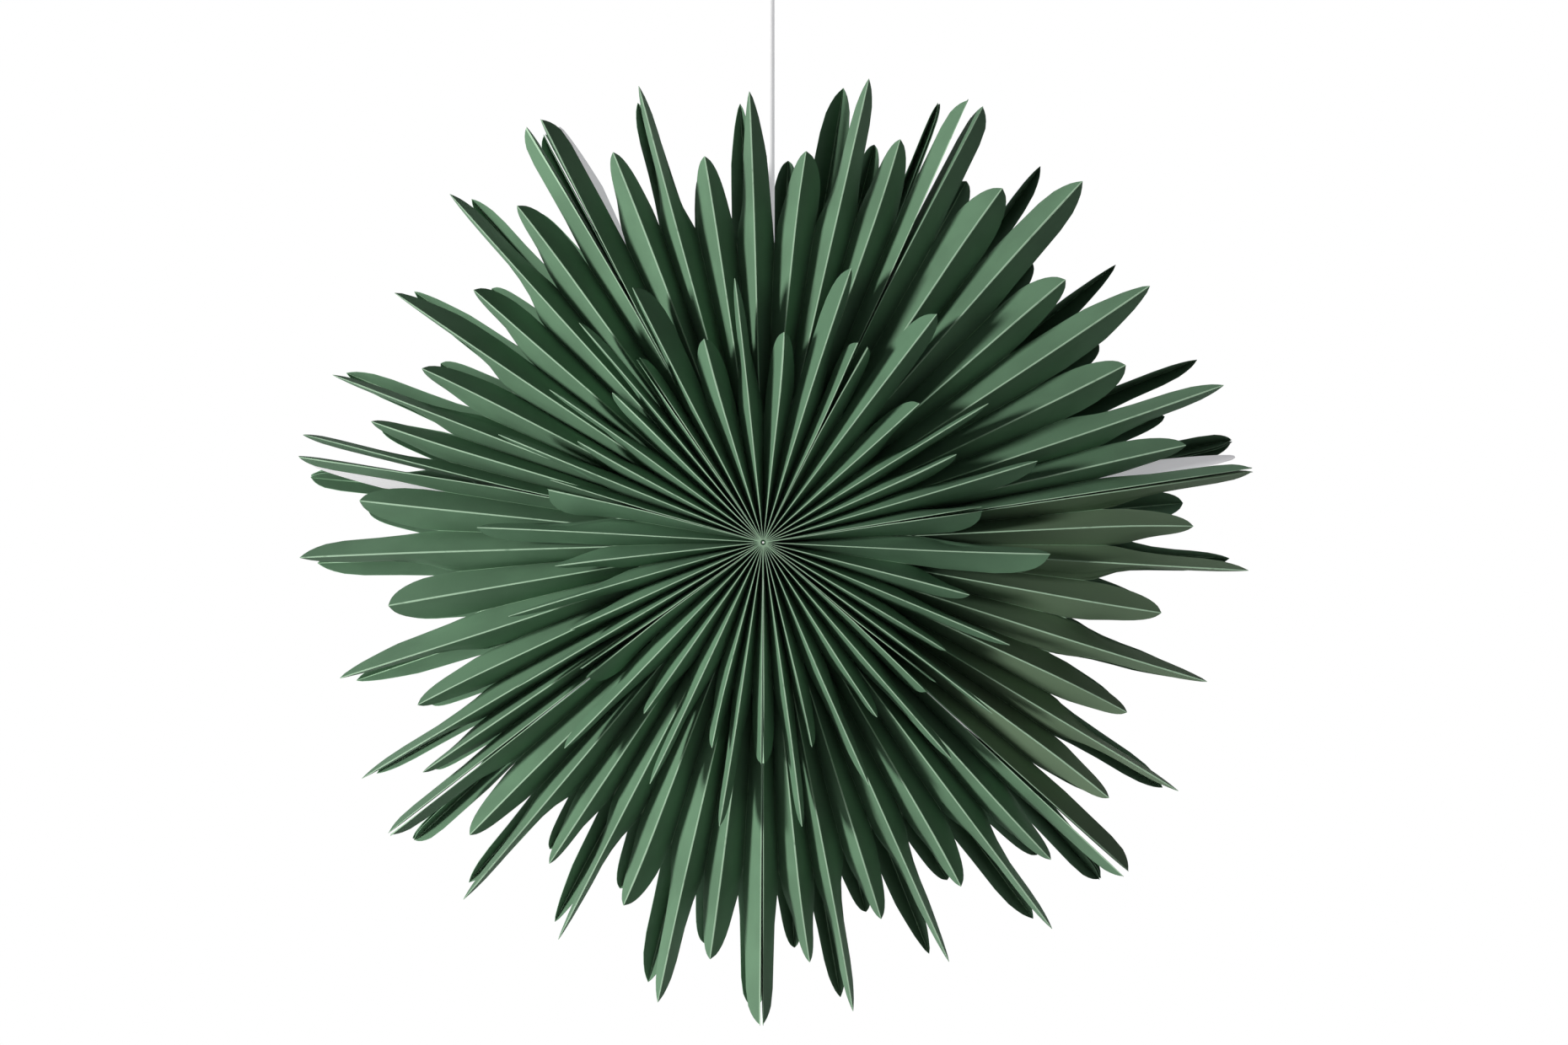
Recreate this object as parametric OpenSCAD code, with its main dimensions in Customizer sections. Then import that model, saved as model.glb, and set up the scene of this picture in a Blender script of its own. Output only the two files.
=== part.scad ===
// Hanging star lamp of pleated and cut paper.
// Seven folded units stand round a hub like the parts of an orange. Each unit is one sheet:
// eight pleats in front, eight behind and a deep end panel on each side, cut into petals.
// A smaller pleated fan is glued on the front and on the rear of every unit.
// The star faces -Y and hangs on its cord from the ceiling cup, whose rim is at z = 0.

/* [Star] */
// Height of the ceiling face above the hub
hub_drop = 400; // [380:1:900]
// How far the hub hangs to the left of the cord
hub_shift = 4; // [0:0.5:10]
// Depth between the front and the rear ridges of the folded units
body_depth = 100; // [98:1:120]
// Thickness of the green paper
paper_t = 0.3; // [0.2:0.05:0.5]
// Flat width of one pleat panel of a unit
pleat_w = 25; // [22:0.5:26]
// Radius at which the pleats of a unit begin, round the hub
unit_start_r = 9; // [9:0.5:14]
// How far the ring of petals sits off the hub to the right
ring_shift = 7; // [0:0.5:10]

/* [Unit petals] */
// Radius of the petal tips at a seam
seam_tip_r = 305; // [290:1:330]
// Radius of the first medium petals
medium_tip_r = 267; // [250:1:285]
// Radius of the long petals beside them
long_tip_r = 300; // [285:1:320]
// Radius of the medium petals near the middle
inner_tip_r = 248; // [235:1:265]
// Radius of the long middle petal
mid_tip_r = 287; // [270:1:300]
// Radius of the valley cuts beside the seam petals
seam_notch_r = 210; // [195:1:225]
// Radius of the valley cuts between the first medium and the long petals
long_notch_r = 212; // [195:1:225]
// Radius of the valley cuts on the other side of the long petals
inner_notch_r = 199; // [185:1:215]
// Radius of the valley cuts beside the middle petal
mid_notch_r = 190; // [175:1:205]
// Radius of the fishtail cut between the front and the rear lobe of an end panel
tail_notch_r = 196; // [180:1:205]

/* [Fans] */
// Flat width of one pleat panel of a fan
fan_pleat_w = 25; // [20:0.5:26]
// Radius at which the pleats of a fan begin
fan_start_r = 6; // [6:0.5:9]
// Radius of the fan tips at a seam
fan_seam_tip_r = 139; // [125:1:150]
// Radius of the long fan tips
fan_long_tip_r = 180; // [165:1:188]
// Radius of the short fan tips
fan_short_tip_r = 133; // [120:1:145]
// Radius of the middle fan tip
fan_mid_tip_r = 167; // [150:1:180]
// Radius of the valley cuts beside the long fan tips
fan_notch_r = 92; // [85:1:105]
// Radius of the valley cuts beside the middle fan tip
fan_mid_notch_r = 79; // [70:1:90]

/* [Seams] */
// Thickness of the white card glued between two units
card_t = 0.5; // [0.3:0.1:0.8]
// Thickness of the tape pads that close the star at one seam
pad_t = 0.25; // [0.2:0.05:0.3]
// Width of a closing pad, measured along the depth of the star
pad_w = 5; // [4:0.5:6]
// Length of a closing pad along the seam
pad_len = 36; // [20:1:40]

/* [Lamp] */
// Diameter of the bulb's globe
bulb_d = 45; // [40:1:46]
// Length of the bulb's glass
bulb_glass_len = 56; // [50:1:60]
// Diameter of the bulb's screw cap
cap_d = 14; // [13.5:0.1:14.5]
// Length of the bulb's screw cap
cap_len = 24; // [22:1:26]
// Height of the lowest point of the bulb over the hub
bulb_rise = 62; // [58:1:70]
// Diameter of the lamp holder's body
holder_d = 27; // [25:0.5:28]
// Length of the lamp holder's body
holder_len = 54; // [50:1:60]
// Diameter of the lamp holder's collar
collar_d = 34; // [32:0.5:36]
// Thickness of the collar
collar_t = 2; // [1.5:0.5:3]
// Diameter of the ring screwed under the carrier
ring_d = 38; // [36:0.5:40]
// Height of the ring
ring_h = 10; // [6:1:12]
// Thickness of the carrier card
carrier_t = 1.2; // [0.8:0.1:2]
// Width of the carrier card
carrier_w = 40; // [38:1:42]
// Width of the tabs at the carrier's ends
tab_w = 14; // [10:1:16]
// Length of the tabs
tab_len = 16; // [12:1:20]
// Diameter of the cord grips
grip_d = 12; // [10:0.5:14]
// Length of the cord grips
grip_len = 16; // [12:1:20]

/* [Cord and ceiling cup] */
// Diameter of the cord
cord_d = 6; // [5:0.5:7]
// Outer diameter of the ceiling cup
cup_d = 84; // [70:1:110]
// Height of the ceiling cup
cup_h = 32; // [25:1:45]
// Wall of the ceiling cup
cup_wall = 2; // [1.5:0.5:3]
// Width of the bracket that is screwed to the ceiling
bracket_w = 16; // [12:1:20]
// Thickness of the bracket
bracket_t = 1.5; // [1:0.5:2]
// Distance between the bracket's ceiling screw holes
bracket_hole_gap = 50; // [40:1:54]
// Diameter of the ceiling screw holes
bracket_hole_d = 4.5; // [4:0.5:5.5]
// Diameter of the two screws that hold the cup on the bracket
cup_screw_d = 3; // [2.5:0.5:4]

/* [Hub] */
// Diameter of the pin heads in the ends of the hub core
pin_d = 2.6; // [2:0.2:4]

/* [Hidden] */
// Directions of the seven seams at the petal tips, counter-clockwise from the right
SEAM_DEG = [8.4, 64.3, 118.8, 168, 218, 269.8, 317.6];
// Directions of the seams between the fans
FAN_SEAM_DEG = [8.7, 63.2, 124.2, 164.7, 215.8, 269.8, 319.3];
// How far each seam turns on its way from the front to the rear
SEAM_TURN = [3.8, 4, -0.5, 1.5, 0.5, -1, -0.5];
// How much the pleats of each unit lean towards its second seam, as a share of its angle
UNIT_LEAN = [-0.06, 0, 0.05, 0.09, -0.02, 0, -0.01];
// How much the pleats of each unit gather towards its two seams
UNIT_GATHER = [0.02, 0.01, 0.02, 0.035, 0.005, 0.015, 0.02];
// How much the pleats of each fan lean towards its second seam
FAN_LEAN = [-0.07, 0.035, -0.025, 0.115, 0.045, -0.02, -0.135];
// How much the pleats of each fan gather towards its two seams
FAN_GATHER = [0, 0.03, 0.035, 0.01, 0.01, 0.015, 0];
UNITS = len(SEAM_DEG);
TOP_UNIT = 1;
CLOSING_SEAM = 1;
TONGUE_SEAM = 5;
UNIT_PLEATS = 8;
FAN_PLEATS = 6;

// Shares of a panel's width at which its curved cut has a point between ridge and valley
CUT_SHARES = [0.5, 0.88];
// Roundness of the petal tips from the seam to the middle: 1 is straight, 4 nearly square
UNIT_ROUND = [2.2, 3, 2, 3.5, 1.6];
FAN_ROUND = [2, 1.8, 2.2, 1.8];
UNIT_TIPS = [seam_tip_r, medium_tip_r, long_tip_r, inner_tip_r, mid_tip_r];
UNIT_NOTCHES = [seam_notch_r, long_notch_r, inner_notch_r, mid_notch_r];
FAN_TIPS = [fan_seam_tip_r, fan_long_tip_r, fan_short_tip_r, fan_mid_tip_r];
FAN_NOTCHES = [fan_notch_r, fan_notch_r, fan_mid_notch_r];

// Clearance of glued paper faces and of pieces that seat on each other
seat = 0.3;
seam_half = card_t / 2 + seat;
ridge_y = body_depth / 2;
fan_valley_y = ridge_y + seat;
fan_ridge_y = fan_valley_y + fan_pleat_w;
// Folded paper lies lapped at the hub, where the pleats are pressed together
hub_lap = 6 * paper_t;
hub_skin = 0.4 * paper_t;

core_r = unit_start_r - seat;
core_neck_r = fan_start_r - seat;
core_step_y = ridge_y - 1;
core_end_y = fan_ridge_y - 3;
pin_h = 1;
pin_len = 12;

tongue_r = 263;
tongue_len = 18;
unit_pad_r = 150;
fan_pad_r = 62;
fan_pad_len = 26;
pad_set = 0.5;

cap_clear = 0.5;
neck_d = 16;
glass_top = bulb_rise + bulb_glass_len;
cap_top = glass_top + cap_len;
holder_base = glass_top + 1;
holder_top = holder_base + holder_len;
holder_bore_top = cap_top + 1;
collar_z = holder_base + 29;
carrier_z = collar_z - seat - carrier_t;
carrier_hole_d = holder_d + 1.5;
ring_top = carrier_z - seat;
ring_bore_d = holder_d + 2 * seat;
tab_clear = 1.1;
taper_len = 26;
grip_base = holder_top + seat;
grip_bore_d = cord_d + 0.4;
cup_floor_z = -cup_h;
cord_end_z = cup_floor_z + cup_wall / 2;
bracket_end = sqrt(pow(cup_d / 2 - cup_wall - seat, 2) - pow(bracket_w / 2, 2));
bracket_drop = 12;
cup_screw_z = -7;
cup_screw_hole_d = cup_screw_d + 0.4;
cup_screw_len = 8;
cord_start_z = grip_base - hub_drop + 2;

// The cord hangs plumb from the ceiling cup to the grip of the lamp holder
CORD_RINGS = 12;
CORD_SIDES = 10;

// Place of a point by its distance from the hub, its direction, a sideways shift and its depth
function at(r, deg, side, y) = [
    r * cos(deg) - side * sin(deg) - hub_shift,
    y,
    r * sin(deg) + side * cos(deg) - hub_drop
];
function mix(a, b, share) = a + (b - a) * share;
function back(list) = [for (i = [len(list) - 1:-1:0]) list[i]];
function radians(deg) = deg * PI / 180;
// Radius on the off-centre ring of petals
function ringed(r, deg) = r + ring_shift * cos(deg);
// Radius of the curved cut between a tip and a valley at a share of the panel's width
function cut_r(tip, notch, round_by, share) =
    notch + (tip - notch) * pow(1 - pow(share, round_by), 1 / round_by);
// A list that runs from the seam to the middle is read in mirror order past the middle
function mirrored(list, i, last) = list[min(i, last - i)];
// Share of a unit's angle at which pleat fold i lies
function spread(i, count, lean, gather) =
    i / count + lean * sin(180 * i / count) - gather * sin(360 * i / count);
function seam_deg(list, k) = list[k % UNITS] + (k >= UNITS ? 360 : 0);

// Direction of fold i of a unit at depth side -1 in front and 1 behind
function unit_fold_deg(k, i, depth_side) =
    mix(seam_deg(SEAM_DEG, k), seam_deg(SEAM_DEG, k + 1),
        spread(i, UNIT_PLEATS, UNIT_LEAN[k], UNIT_GATHER[k]))
    + (depth_side + 1) / 2 * mix(SEAM_TURN[k], SEAM_TURN[(k + 1) % UNITS], i / UNIT_PLEATS);
function fan_fold_deg(k, i, depth_side) =
    mix(seam_deg(FAN_SEAM_DEG, k), seam_deg(FAN_SEAM_DEG, k + 1),
        spread(i, FAN_PLEATS, FAN_LEAN[k], FAN_GATHER[k]))
    + (depth_side + 1) / 2 * mix(SEAM_TURN[k], SEAM_TURN[(k + 1) % UNITS], i / FAN_PLEATS);
// Direction of the same fold at the hub, where the pleats are packed evenly between the seams
function hub_fold_deg(first, last, i, count, start_r) =
    mix(first + seam_half / radians(start_r), last - seam_half / radians(start_r), i / count);

// A column of a sheet is four points: outside and inside of the paper at the hub,
// then outside and inside at the cut edge.
function column(start_r, hub_deg, end_r, end_deg, end_side, y_hub, y_end,
    in_hub, in_end, skin_hub, skin_end) = [
    at(start_r, hub_deg, 0, y_hub),
    at(start_r, hub_deg, skin_hub, y_hub + in_hub),
    at(end_r, end_deg, end_side, y_end),
    at(end_r, end_deg, end_side + skin_end, y_end + in_end)
];

// Ridge column. Seam ridges also have their paper's thickness sideways, inwards.
function ridge_column(start_r, hub_deg, tip, deg, side, ridge, width, pitch, inward, skin) =
    let (lap = paper_t * width / pitch)
    let (deeper = skin == 0 ? 1 : 2)
    column(start_r, hub_deg, tip, deg, side, ridge, ridge,
        inward * (skin == 0 ? hub_lap : 4 * hub_lap), inward * deeper * lap,
        skin * hub_skin, skin * paper_t);

function valley_column(start_r, hub_deg, notch, deg, ridge, width, pitch, inward) =
    let (lap = paper_t * width / pitch)
    let (deep = sqrt(width * width - pitch * pitch))
    column(start_r, hub_deg, notch, deg, 0,
        ridge + inward * (width - hub_lap), ridge + inward * (deep - lap),
        inward * hub_lap, inward * lap, 0, 0);

// Columns between a ridge and a valley, where the cut edge curves from the tip to the notch
function flank_column(r_col, v_col, tip, deg, side, notch, v_deg, round_by, share) =
    let (reach = notch * sin(v_deg - deg))
    let (low = notch * cos(v_deg - deg))
    let (edge = cut_r(tip, low, round_by, share))
    let (across = mix(side, reach, share))
    [
        mix(r_col[0], v_col[0], share),
        mix(r_col[1], v_col[1], share),
        at(edge, deg, across, mix(r_col[2][1], v_col[2][1], share)),
        at(edge, deg, across + (1 - share) * (side > 0 ? 1 : side < 0 ? -1 : 0) * paper_t,
            mix(r_col[3][1], v_col[3][1], share))
    ];

// All columns of one pleated side, from the first seam ridge to the last
function pleat_columns(degs, hub_degs, tips, notches, rounds, start_r, ridge, width, inward) =
    let (last = len(degs) - 1)
    let (pitches = [for (i = [0:last - 1])
        mirrored(notches, i, last - 1) * radians(degs[i + 1] - degs[i]) / 2])
    let (v_degs = [for (i = [0:last - 1]) (degs[i] + degs[i + 1]) / 2])
    let (sides = [for (i = [0:last]) i == 0 ? seam_half : i == last ? -seam_half : 0])
    let (skins = [for (i = [0:last]) i == 0 ? 1 : i == last ? -1 : 0])
    let (notch_rs = [for (i = [0:last - 1]) edge_r(mirrored(notches, i, last - 1), v_degs[i], start_r)])
    let (tip_rs = [for (i = [0:last]) edge_r(mirrored(tips, i, last), degs[i], start_r)])
    let (ridges = [for (i = [0:last])
        ridge_column(start_r, hub_degs[2 * i], tip_rs[i], degs[i], sides[i], ridge, width,
            pitches[min(i, last - 1)], inward, skins[i])])
    let (valleys = [for (i = [0:last - 1])
        valley_column(start_r, hub_degs[2 * i + 1], notch_rs[i], v_degs[i],
            ridge, width, pitches[i], inward)])
    [for (i = [0:last]) each concat(
        i == 0 ? [] : [for (share = back(CUT_SHARES))
            flank_column(ridges[i], valleys[i - 1], tip_rs[i], degs[i], sides[i],
                notch_rs[i - 1], v_degs[i - 1], mirrored(rounds, i, last), share)],
        [ridges[i]],
        i == last ? [] : [for (share = CUT_SHARES)
            flank_column(ridges[i], valleys[i], tip_rs[i], degs[i], sides[i],
                notch_rs[i], v_degs[i], mirrored(rounds, i, last), share)],
        i == last ? [] : [valleys[i]])];
// The petals of the units lie on the shifted ring, those of the fans round the hub
function edge_r(r, deg, start_r) = start_r == unit_start_r ? ringed(r, deg) : r;

function unit_side(k, depth_side) =
    let (degs = [for (i = [0:UNIT_PLEATS]) unit_fold_deg(k, i, depth_side)])
    let (hub_degs = [for (i = [0:2 * UNIT_PLEATS])
        hub_fold_deg(degs[0], degs[UNIT_PLEATS], i, 2 * UNIT_PLEATS, unit_start_r)])
    pleat_columns(degs, hub_degs, UNIT_TIPS, UNIT_NOTCHES, UNIT_ROUND, unit_start_r,
        depth_side * ridge_y, pleat_w, -depth_side);
function fan_side(k, depth_side) =
    let (degs = [for (i = [0:FAN_PLEATS]) fan_fold_deg(k, i, depth_side)])
    let (hub_degs = [for (i = [0:2 * FAN_PLEATS])
        hub_fold_deg(degs[0], degs[FAN_PLEATS], i, 2 * FAN_PLEATS, fan_start_r)])
    pleat_columns(degs, hub_degs, FAN_TIPS, FAN_NOTCHES, FAN_ROUND, fan_start_r,
        depth_side * fan_ridge_y, fan_pleat_w, -depth_side);

// Direction of a unit's seam surface at a depth
function seam_at(k, y) = SEAM_DEG[k % UNITS] + SEAM_TURN[k % UNITS] * (y + ridge_y) / body_depth;
// Radius of the end panel's cut edge at a depth: a lobe in front, a lobe behind, a fishtail between
function tail_r(k, y) =
    let (share = min(1, (ridge_y - abs(y)) / pleat_w))
    ringed(cut_r(seam_tip_r, tail_notch_r, UNIT_ROUND[0], share), seam_at(k, y));
// Depths of an end panel's columns between its two ridges. The card in the seam has the same ones,
// so that both follow the turn of the seam alike.
LOBE_DEPTHS = [for (share = CUT_SHARES) share * pleat_w - ridge_y];
TAIL_DEPTHS = [for (i = [-2:2]) i / 2 * (ridge_y - pleat_w)];
PANEL_DEPTHS = concat(LOBE_DEPTHS, TAIL_DEPTHS, back(-LOBE_DEPTHS));
// Columns of an end panel from front to rear; side is 1 at a unit's first seam, -1 at its last
function end_columns(k, side) =
    [for (y = PANEL_DEPTHS)
        let (deg = seam_at(k, y))
        column(unit_start_r, deg + side * seam_half / radians(unit_start_r), tail_r(k, y), deg,
            side * seam_half, y, y, 0, 0, side * hub_skin, side * paper_t)];

// Faces of a sheet from its columns; a closed sheet joins its last column to its first.
// Each strip is split from the hub end of its column nearer the ridges, so that sheets in one seam match.
function ring_of(j, n) = [for (c = [0:3]) 4 * (j % n) + c];
function depth_of(columns, j) = abs(columns[j % len(columns)][0][1]);
function strip_faces(a, b, from_first) = concat(
    from_first
        ? [[a[0], b[0], b[2]], [a[0], b[2], a[2]], [a[1], b[3], b[1]], [a[1], a[3], b[3]]]
        : [[a[0], b[0], a[2]], [b[0], b[2], a[2]], [a[1], a[3], b[1]], [b[1], a[3], b[3]]],
    [[a[2], b[2], b[3]], [a[2], b[3], a[3]], [a[0], b[1], b[0]], [a[0], a[1], b[1]]]);
function sheet_faces(columns, closed) =
    let (n = len(columns))
    concat(
        [for (j = [0:n - (closed ? 1 : 2)])
            each strip_faces(ring_of(j, n), ring_of(j + 1, n),
                depth_of(columns, j) > depth_of(columns, j + 1))],
        closed ? [] : [[0, 2, 3], [0, 3, 1],
            [4 * n - 4, 4 * n - 3, 4 * n - 1], [4 * n - 4, 4 * n - 1, 4 * n - 2]]);

module sheet(columns, closed) {
    polyhedron(points = [for (c = columns) each c], faces = sheet_faces(columns, closed));
}

// One folded unit: a closed band of paper, pleated in front and behind
module unit(k) {
    color("seagreen")
    sheet(concat(unit_side(k, -1), end_columns(k + 1, -1),
        back(unit_side(k, 1)), back(end_columns(k, 1))), true);
}

// One fan: pleats with a flange along each seam that reaches back to the unit
function flange_columns(k, depth_side, side, deg) =
    let (ridge = depth_side * fan_ridge_y)
    [for (share = concat(CUT_SHARES, [1]))
        let (y = ridge - depth_side * share * fan_pleat_w)
        column(fan_start_r, deg + side * seam_half / radians(fan_start_r),
            cut_r(fan_seam_tip_r, fan_notch_r, FAN_ROUND[0], share), deg, side * seam_half,
            y, y, 0, 0, side * hub_skin, side * paper_t)];
module fan(k, depth_side) {
    first = flange_columns(k, depth_side, 1, fan_fold_deg(k, 0, depth_side));
    last = flange_columns(k, depth_side, -1, fan_fold_deg(k, FAN_PLEATS, depth_side));
    columns = concat(back(first), fan_side(k, depth_side), last);
    color("mediumseagreen")
    sheet(depth_side < 0 ? columns : back(columns), false);
}

// Column of a flat piece that lies in a seam
function seam_column(k, y, thickness, start_r, end_r) =
    let (deg = seam_at(k, y))
    [
        at(start_r, deg, -thickness / 2, y),
        at(start_r, deg, thickness / 2, y),
        at(end_r, deg, -thickness / 2, y),
        at(end_r, deg, thickness / 2, y)
    ];

// White card in a seam, from the front lobe to the rear ridges. It ends at the valleys' depth where
// the star is closed by pads, and one card has a tongue that shows between the lowest petals.
module seam_card(k) {
    depths = concat(k == CLOSING_SEAM ? [] : LOBE_DEPTHS, TAIL_DEPTHS, back(-LOBE_DEPTHS), [ridge_y]);
    tongue_depths = [-ridge_y, LOBE_DEPTHS[0] + 1];
    color("white") {
        sheet([for (y = back(depths))
            seam_column(k, y, card_t, unit_start_r, tail_r(k, y))], false);
        if (k == TONGUE_SEAM)
            sheet([for (y = back(tongue_depths))
                seam_column(k, y, card_t, tongue_r, tongue_r + tongue_len)], false);
    }
}

// Tape pads that close the star at one seam: one between the units, one between the front fans
module closing_pads() {
    front_deg = seam_at(CLOSING_SEAM, -ridge_y);
    lobe_w = LOBE_DEPTHS[0] + ridge_y;
    lobe_side = tail_r(CLOSING_SEAM, LOBE_DEPTHS[0]) * sin(seam_at(CLOSING_SEAM, LOBE_DEPTHS[0]) - front_deg);
    color("gainsboro") {
        sheet([for (in = [pad_set + pad_w, pad_set])
            [for (r = [unit_pad_r, unit_pad_r + pad_len]) for (half = [-pad_t / 2, pad_t / 2])
                at(r, front_deg, lobe_side * in / lobe_w + half, in - ridge_y)]], false);
        translate([-hub_shift, 0, -hub_drop])
        rotate([0, -FAN_SEAM_DEG[CLOSING_SEAM], 0])
        translate([fan_pad_r, pad_set - fan_ridge_y, -pad_t / 2])
        cube([fan_pad_len, pad_w, pad_t]);
    }
}

// Rolled paper core that the pleats are glued round
module hub_core() {
    color("darkgreen")
    translate([-hub_shift, 0, -hub_drop])
    rotate([90, 0, 0])
    difference() {
        union() {
            cylinder(r = core_r, h = 2 * core_step_y, center = true, $fn = 48);
            cylinder(r = core_neck_r, h = 2 * core_end_y, center = true, $fn = 48);
        }
        cylinder(d = pin_d / 2, h = 2 * core_end_y + 2, center = true, $fn = 24);
    }
}

// Round-headed pins in the front and the rear end of the core
module hub_pins() {
    color("silver")
    for (turn = [90, -90])
        translate([-hub_shift, 0, -hub_drop])
        rotate([turn, 0, 0])
        rotate_extrude($fn = 32)
        polygon([
            [0, core_end_y - pin_len],
            [pin_d / 4 - 0.05, core_end_y - pin_len],
            [pin_d / 4 - 0.05, core_end_y],
            [pin_d / 2, core_end_y],
            [pin_d / 2, core_end_y + pin_h / 2],
            [pin_d / 4, core_end_y + pin_h],
            [0, core_end_y + pin_h]
        ]);
}

// Place on the inner face of the top unit's end panel, at a height over the hub
function panel_inner_x(seam, side, z) =
    let (deg = SEAM_DEG[seam] + SEAM_TURN[seam] / 2)
    let (off = side * (seam_half + paper_t + tab_clear))
    (z - off * cos(deg)) / tan(deg) - off * sin(deg);

// Bent strip of card across the top unit, glued by a tab to each end panel, that carries the lamp holder
module lamp_carrier() {
    right = TOP_UNIT;
    left = TOP_UNIT + 1;
    top_z = carrier_z + tab_len;
    wall_r = carrier_t / sin(SEAM_DEG[right]);
    wall_l = carrier_t / sin(SEAM_DEG[left]);
    base_r = panel_inner_x(right, 1, carrier_z);
    base_l = panel_inner_x(left, -1, carrier_z);
    tip_r = panel_inner_x(right, 1, top_z);
    tip_l = panel_inner_x(left, -1, top_z);
    floor_r = panel_inner_x(right, 1, carrier_z + carrier_t) - wall_r;
    floor_l = panel_inner_x(left, -1, carrier_z + carrier_t) + wall_l;
    color("white")
    translate([-hub_shift, 0, -hub_drop])
    difference() {
        intersection() {
            rotate([90, 0, 0])
            linear_extrude(carrier_w, center = true)
            polygon([[tip_l, top_z], [base_l, carrier_z], [base_r, carrier_z], [tip_r, top_z],
                [tip_r - wall_r, top_z], [floor_r, carrier_z + carrier_t],
                [floor_l, carrier_z + carrier_t], [tip_l + wall_l, top_z]]);
            translate([0, 0, carrier_z - 1])
            linear_extrude(tab_len + 2)
            polygon([[tip_l - 1, -tab_w / 2], [base_l, -tab_w / 2], [base_l + taper_len, -carrier_w / 2],
                [base_r - taper_len, -carrier_w / 2], [base_r, -tab_w / 2], [tip_r + 1, -tab_w / 2],
                [tip_r + 1, tab_w / 2], [base_r, tab_w / 2], [base_r - taper_len, carrier_w / 2],
                [base_l + taper_len, carrier_w / 2], [base_l, tab_w / 2], [tip_l - 1, tab_w / 2]]);
        }
        translate([hub_shift, 0, carrier_z - 1])
        cylinder(d = carrier_hole_d, h = carrier_t + 2, $fn = 64);
    }
}

// Small lamp holder: a body with a screw bore for the bulb, a collar and a round shoulder
module lamp_holder() {
    shoulder = 4;
    color("whitesmoke")
    translate([0, 0, -hub_drop])
    difference() {
        rotate_extrude($fn = 64)
        polygon(concat(
            [[0, holder_base], [holder_d / 2, holder_base], [holder_d / 2, collar_z],
                [collar_d / 2, collar_z], [collar_d / 2, collar_z + collar_t],
                [holder_d / 2, collar_z + collar_t]],
            [for (a = [0:15:90])
                [holder_d / 2 - shoulder + shoulder * cos(a), holder_top - shoulder + shoulder * sin(a)]],
            [[0, holder_top]]));
        translate([0, 0, holder_base - 1])
        cylinder(d = cap_d + 2 * cap_clear, h = holder_bore_top - holder_base + 1, $fn = 48);
        translate([0, 0, holder_base - 1])
        cylinder(d = neck_d + 2 * cap_clear, h = 5, $fn = 48);
    }
}

// Ring under the carrier that holds it against the collar
module shade_ring() {
    color("whitesmoke")
    translate([0, 0, ring_top - ring_h - hub_drop])
    difference() {
        cylinder(d = ring_d, h = ring_h, $fn = 64);
        translate([0, 0, -1])
        cylinder(d = ring_bore_d, h = ring_h + 2, $fn = 64);
    }
}

// Round grip that holds the cord, standing on a face or hanging under one
module grip() {
    difference() {
        union() {
            cylinder(d = grip_d, h = grip_len * 0.6, $fn = 40);
            cylinder(d = grip_d - 2.4, h = grip_len, $fn = 40);
        }
        translate([0, 0, -1])
        cylinder(d = grip_bore_d, h = grip_len + 2, $fn = 40);
    }
}
module holder_grip() {
    color("white")
    translate([0, 0, grip_base - hub_drop])
    grip();
}
module cup_grip() {
    color("white")
    translate([0, 0, cup_floor_z - seat])
    mirror([0, 0, 1])
    grip();
}

// Golf-ball bulb with its screw cap, closed and solid
module bulb() {
    globe_z = bulb_rise + bulb_d / 2;
    neck_deg = 52;
    color("lightyellow")
    translate([0, 0, -hub_drop])
    rotate_extrude($fn = 64)
    polygon(concat(
        [for (a = [-90:8:neck_deg])
            [bulb_d / 2 * cos(a), globe_z + bulb_d / 2 * sin(a)]],
        [[neck_d / 2, glass_top - 3], [neck_d / 2, glass_top], [cap_d / 2, glass_top],
            [cap_d / 2, cap_top - 4], [cap_d / 4, cap_top], [0, cap_top]]));
}

// Round cord, one tube from the ceiling cup to the holder's grip
module cord() {
    rings = [for (i = [0:CORD_RINGS])
        let (z = mix(cord_start_z, cord_end_z, i / CORD_RINGS))
        [for (s = [0:CORD_SIDES - 1])
            [cord_d / 2 * cos(360 * s / CORD_SIDES), cord_d / 2 * sin(360 * s / CORD_SIDES), z]]];
    color("white")
    polyhedron(
        points = [for (ring = rings) each ring],
        faces = concat(
            [[for (s = [0:CORD_SIDES - 1]) s]],
            [[for (s = [CORD_SIDES - 1:-1:0]) CORD_RINGS * CORD_SIDES + s]],
            [for (i = [0:CORD_RINGS - 1]) for (s = [0:CORD_SIDES - 1])
                let (n = (s + 1) % CORD_SIDES)
                [i * CORD_SIDES + s, (i + 1) * CORD_SIDES + s,
                    (i + 1) * CORD_SIDES + n, i * CORD_SIDES + n]]));
}

// Ceiling cup, open above, with a hole for the cord in its floor
module ceiling_cup() {
    shoulder = 8;
    color("white")
    difference() {
        rotate_extrude($fn = 96)
        polygon(concat(
            [[0, cup_floor_z]],
            [for (a = [-90:15:0])
                [cup_d / 2 - shoulder + shoulder * cos(a), cup_floor_z + shoulder + shoulder * sin(a)]],
            [[cup_d / 2, 0], [0, 0]]));
        rotate_extrude($fn = 96)
        polygon(concat(
            [[0, cup_floor_z + cup_wall]],
            [for (a = [-90:15:0])
                [cup_d / 2 - shoulder + (shoulder - cup_wall) * cos(a),
                    cup_floor_z + shoulder + (shoulder - cup_wall) * sin(a)]],
            [[cup_d / 2 - cup_wall, 1], [0, 1]]));
        translate([0, 0, cup_floor_z - 1])
        cylinder(d = grip_bore_d, h = cup_wall + 2, $fn = 40);
        cup_screw_bore();
    }
}
module cup_screw_bore() {
    translate([0, 0, cup_screw_z])
    rotate([0, 90, 0])
    cylinder(d = cup_screw_hole_d, h = cup_d + 2, center = true, $fn = 32);
}

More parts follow.
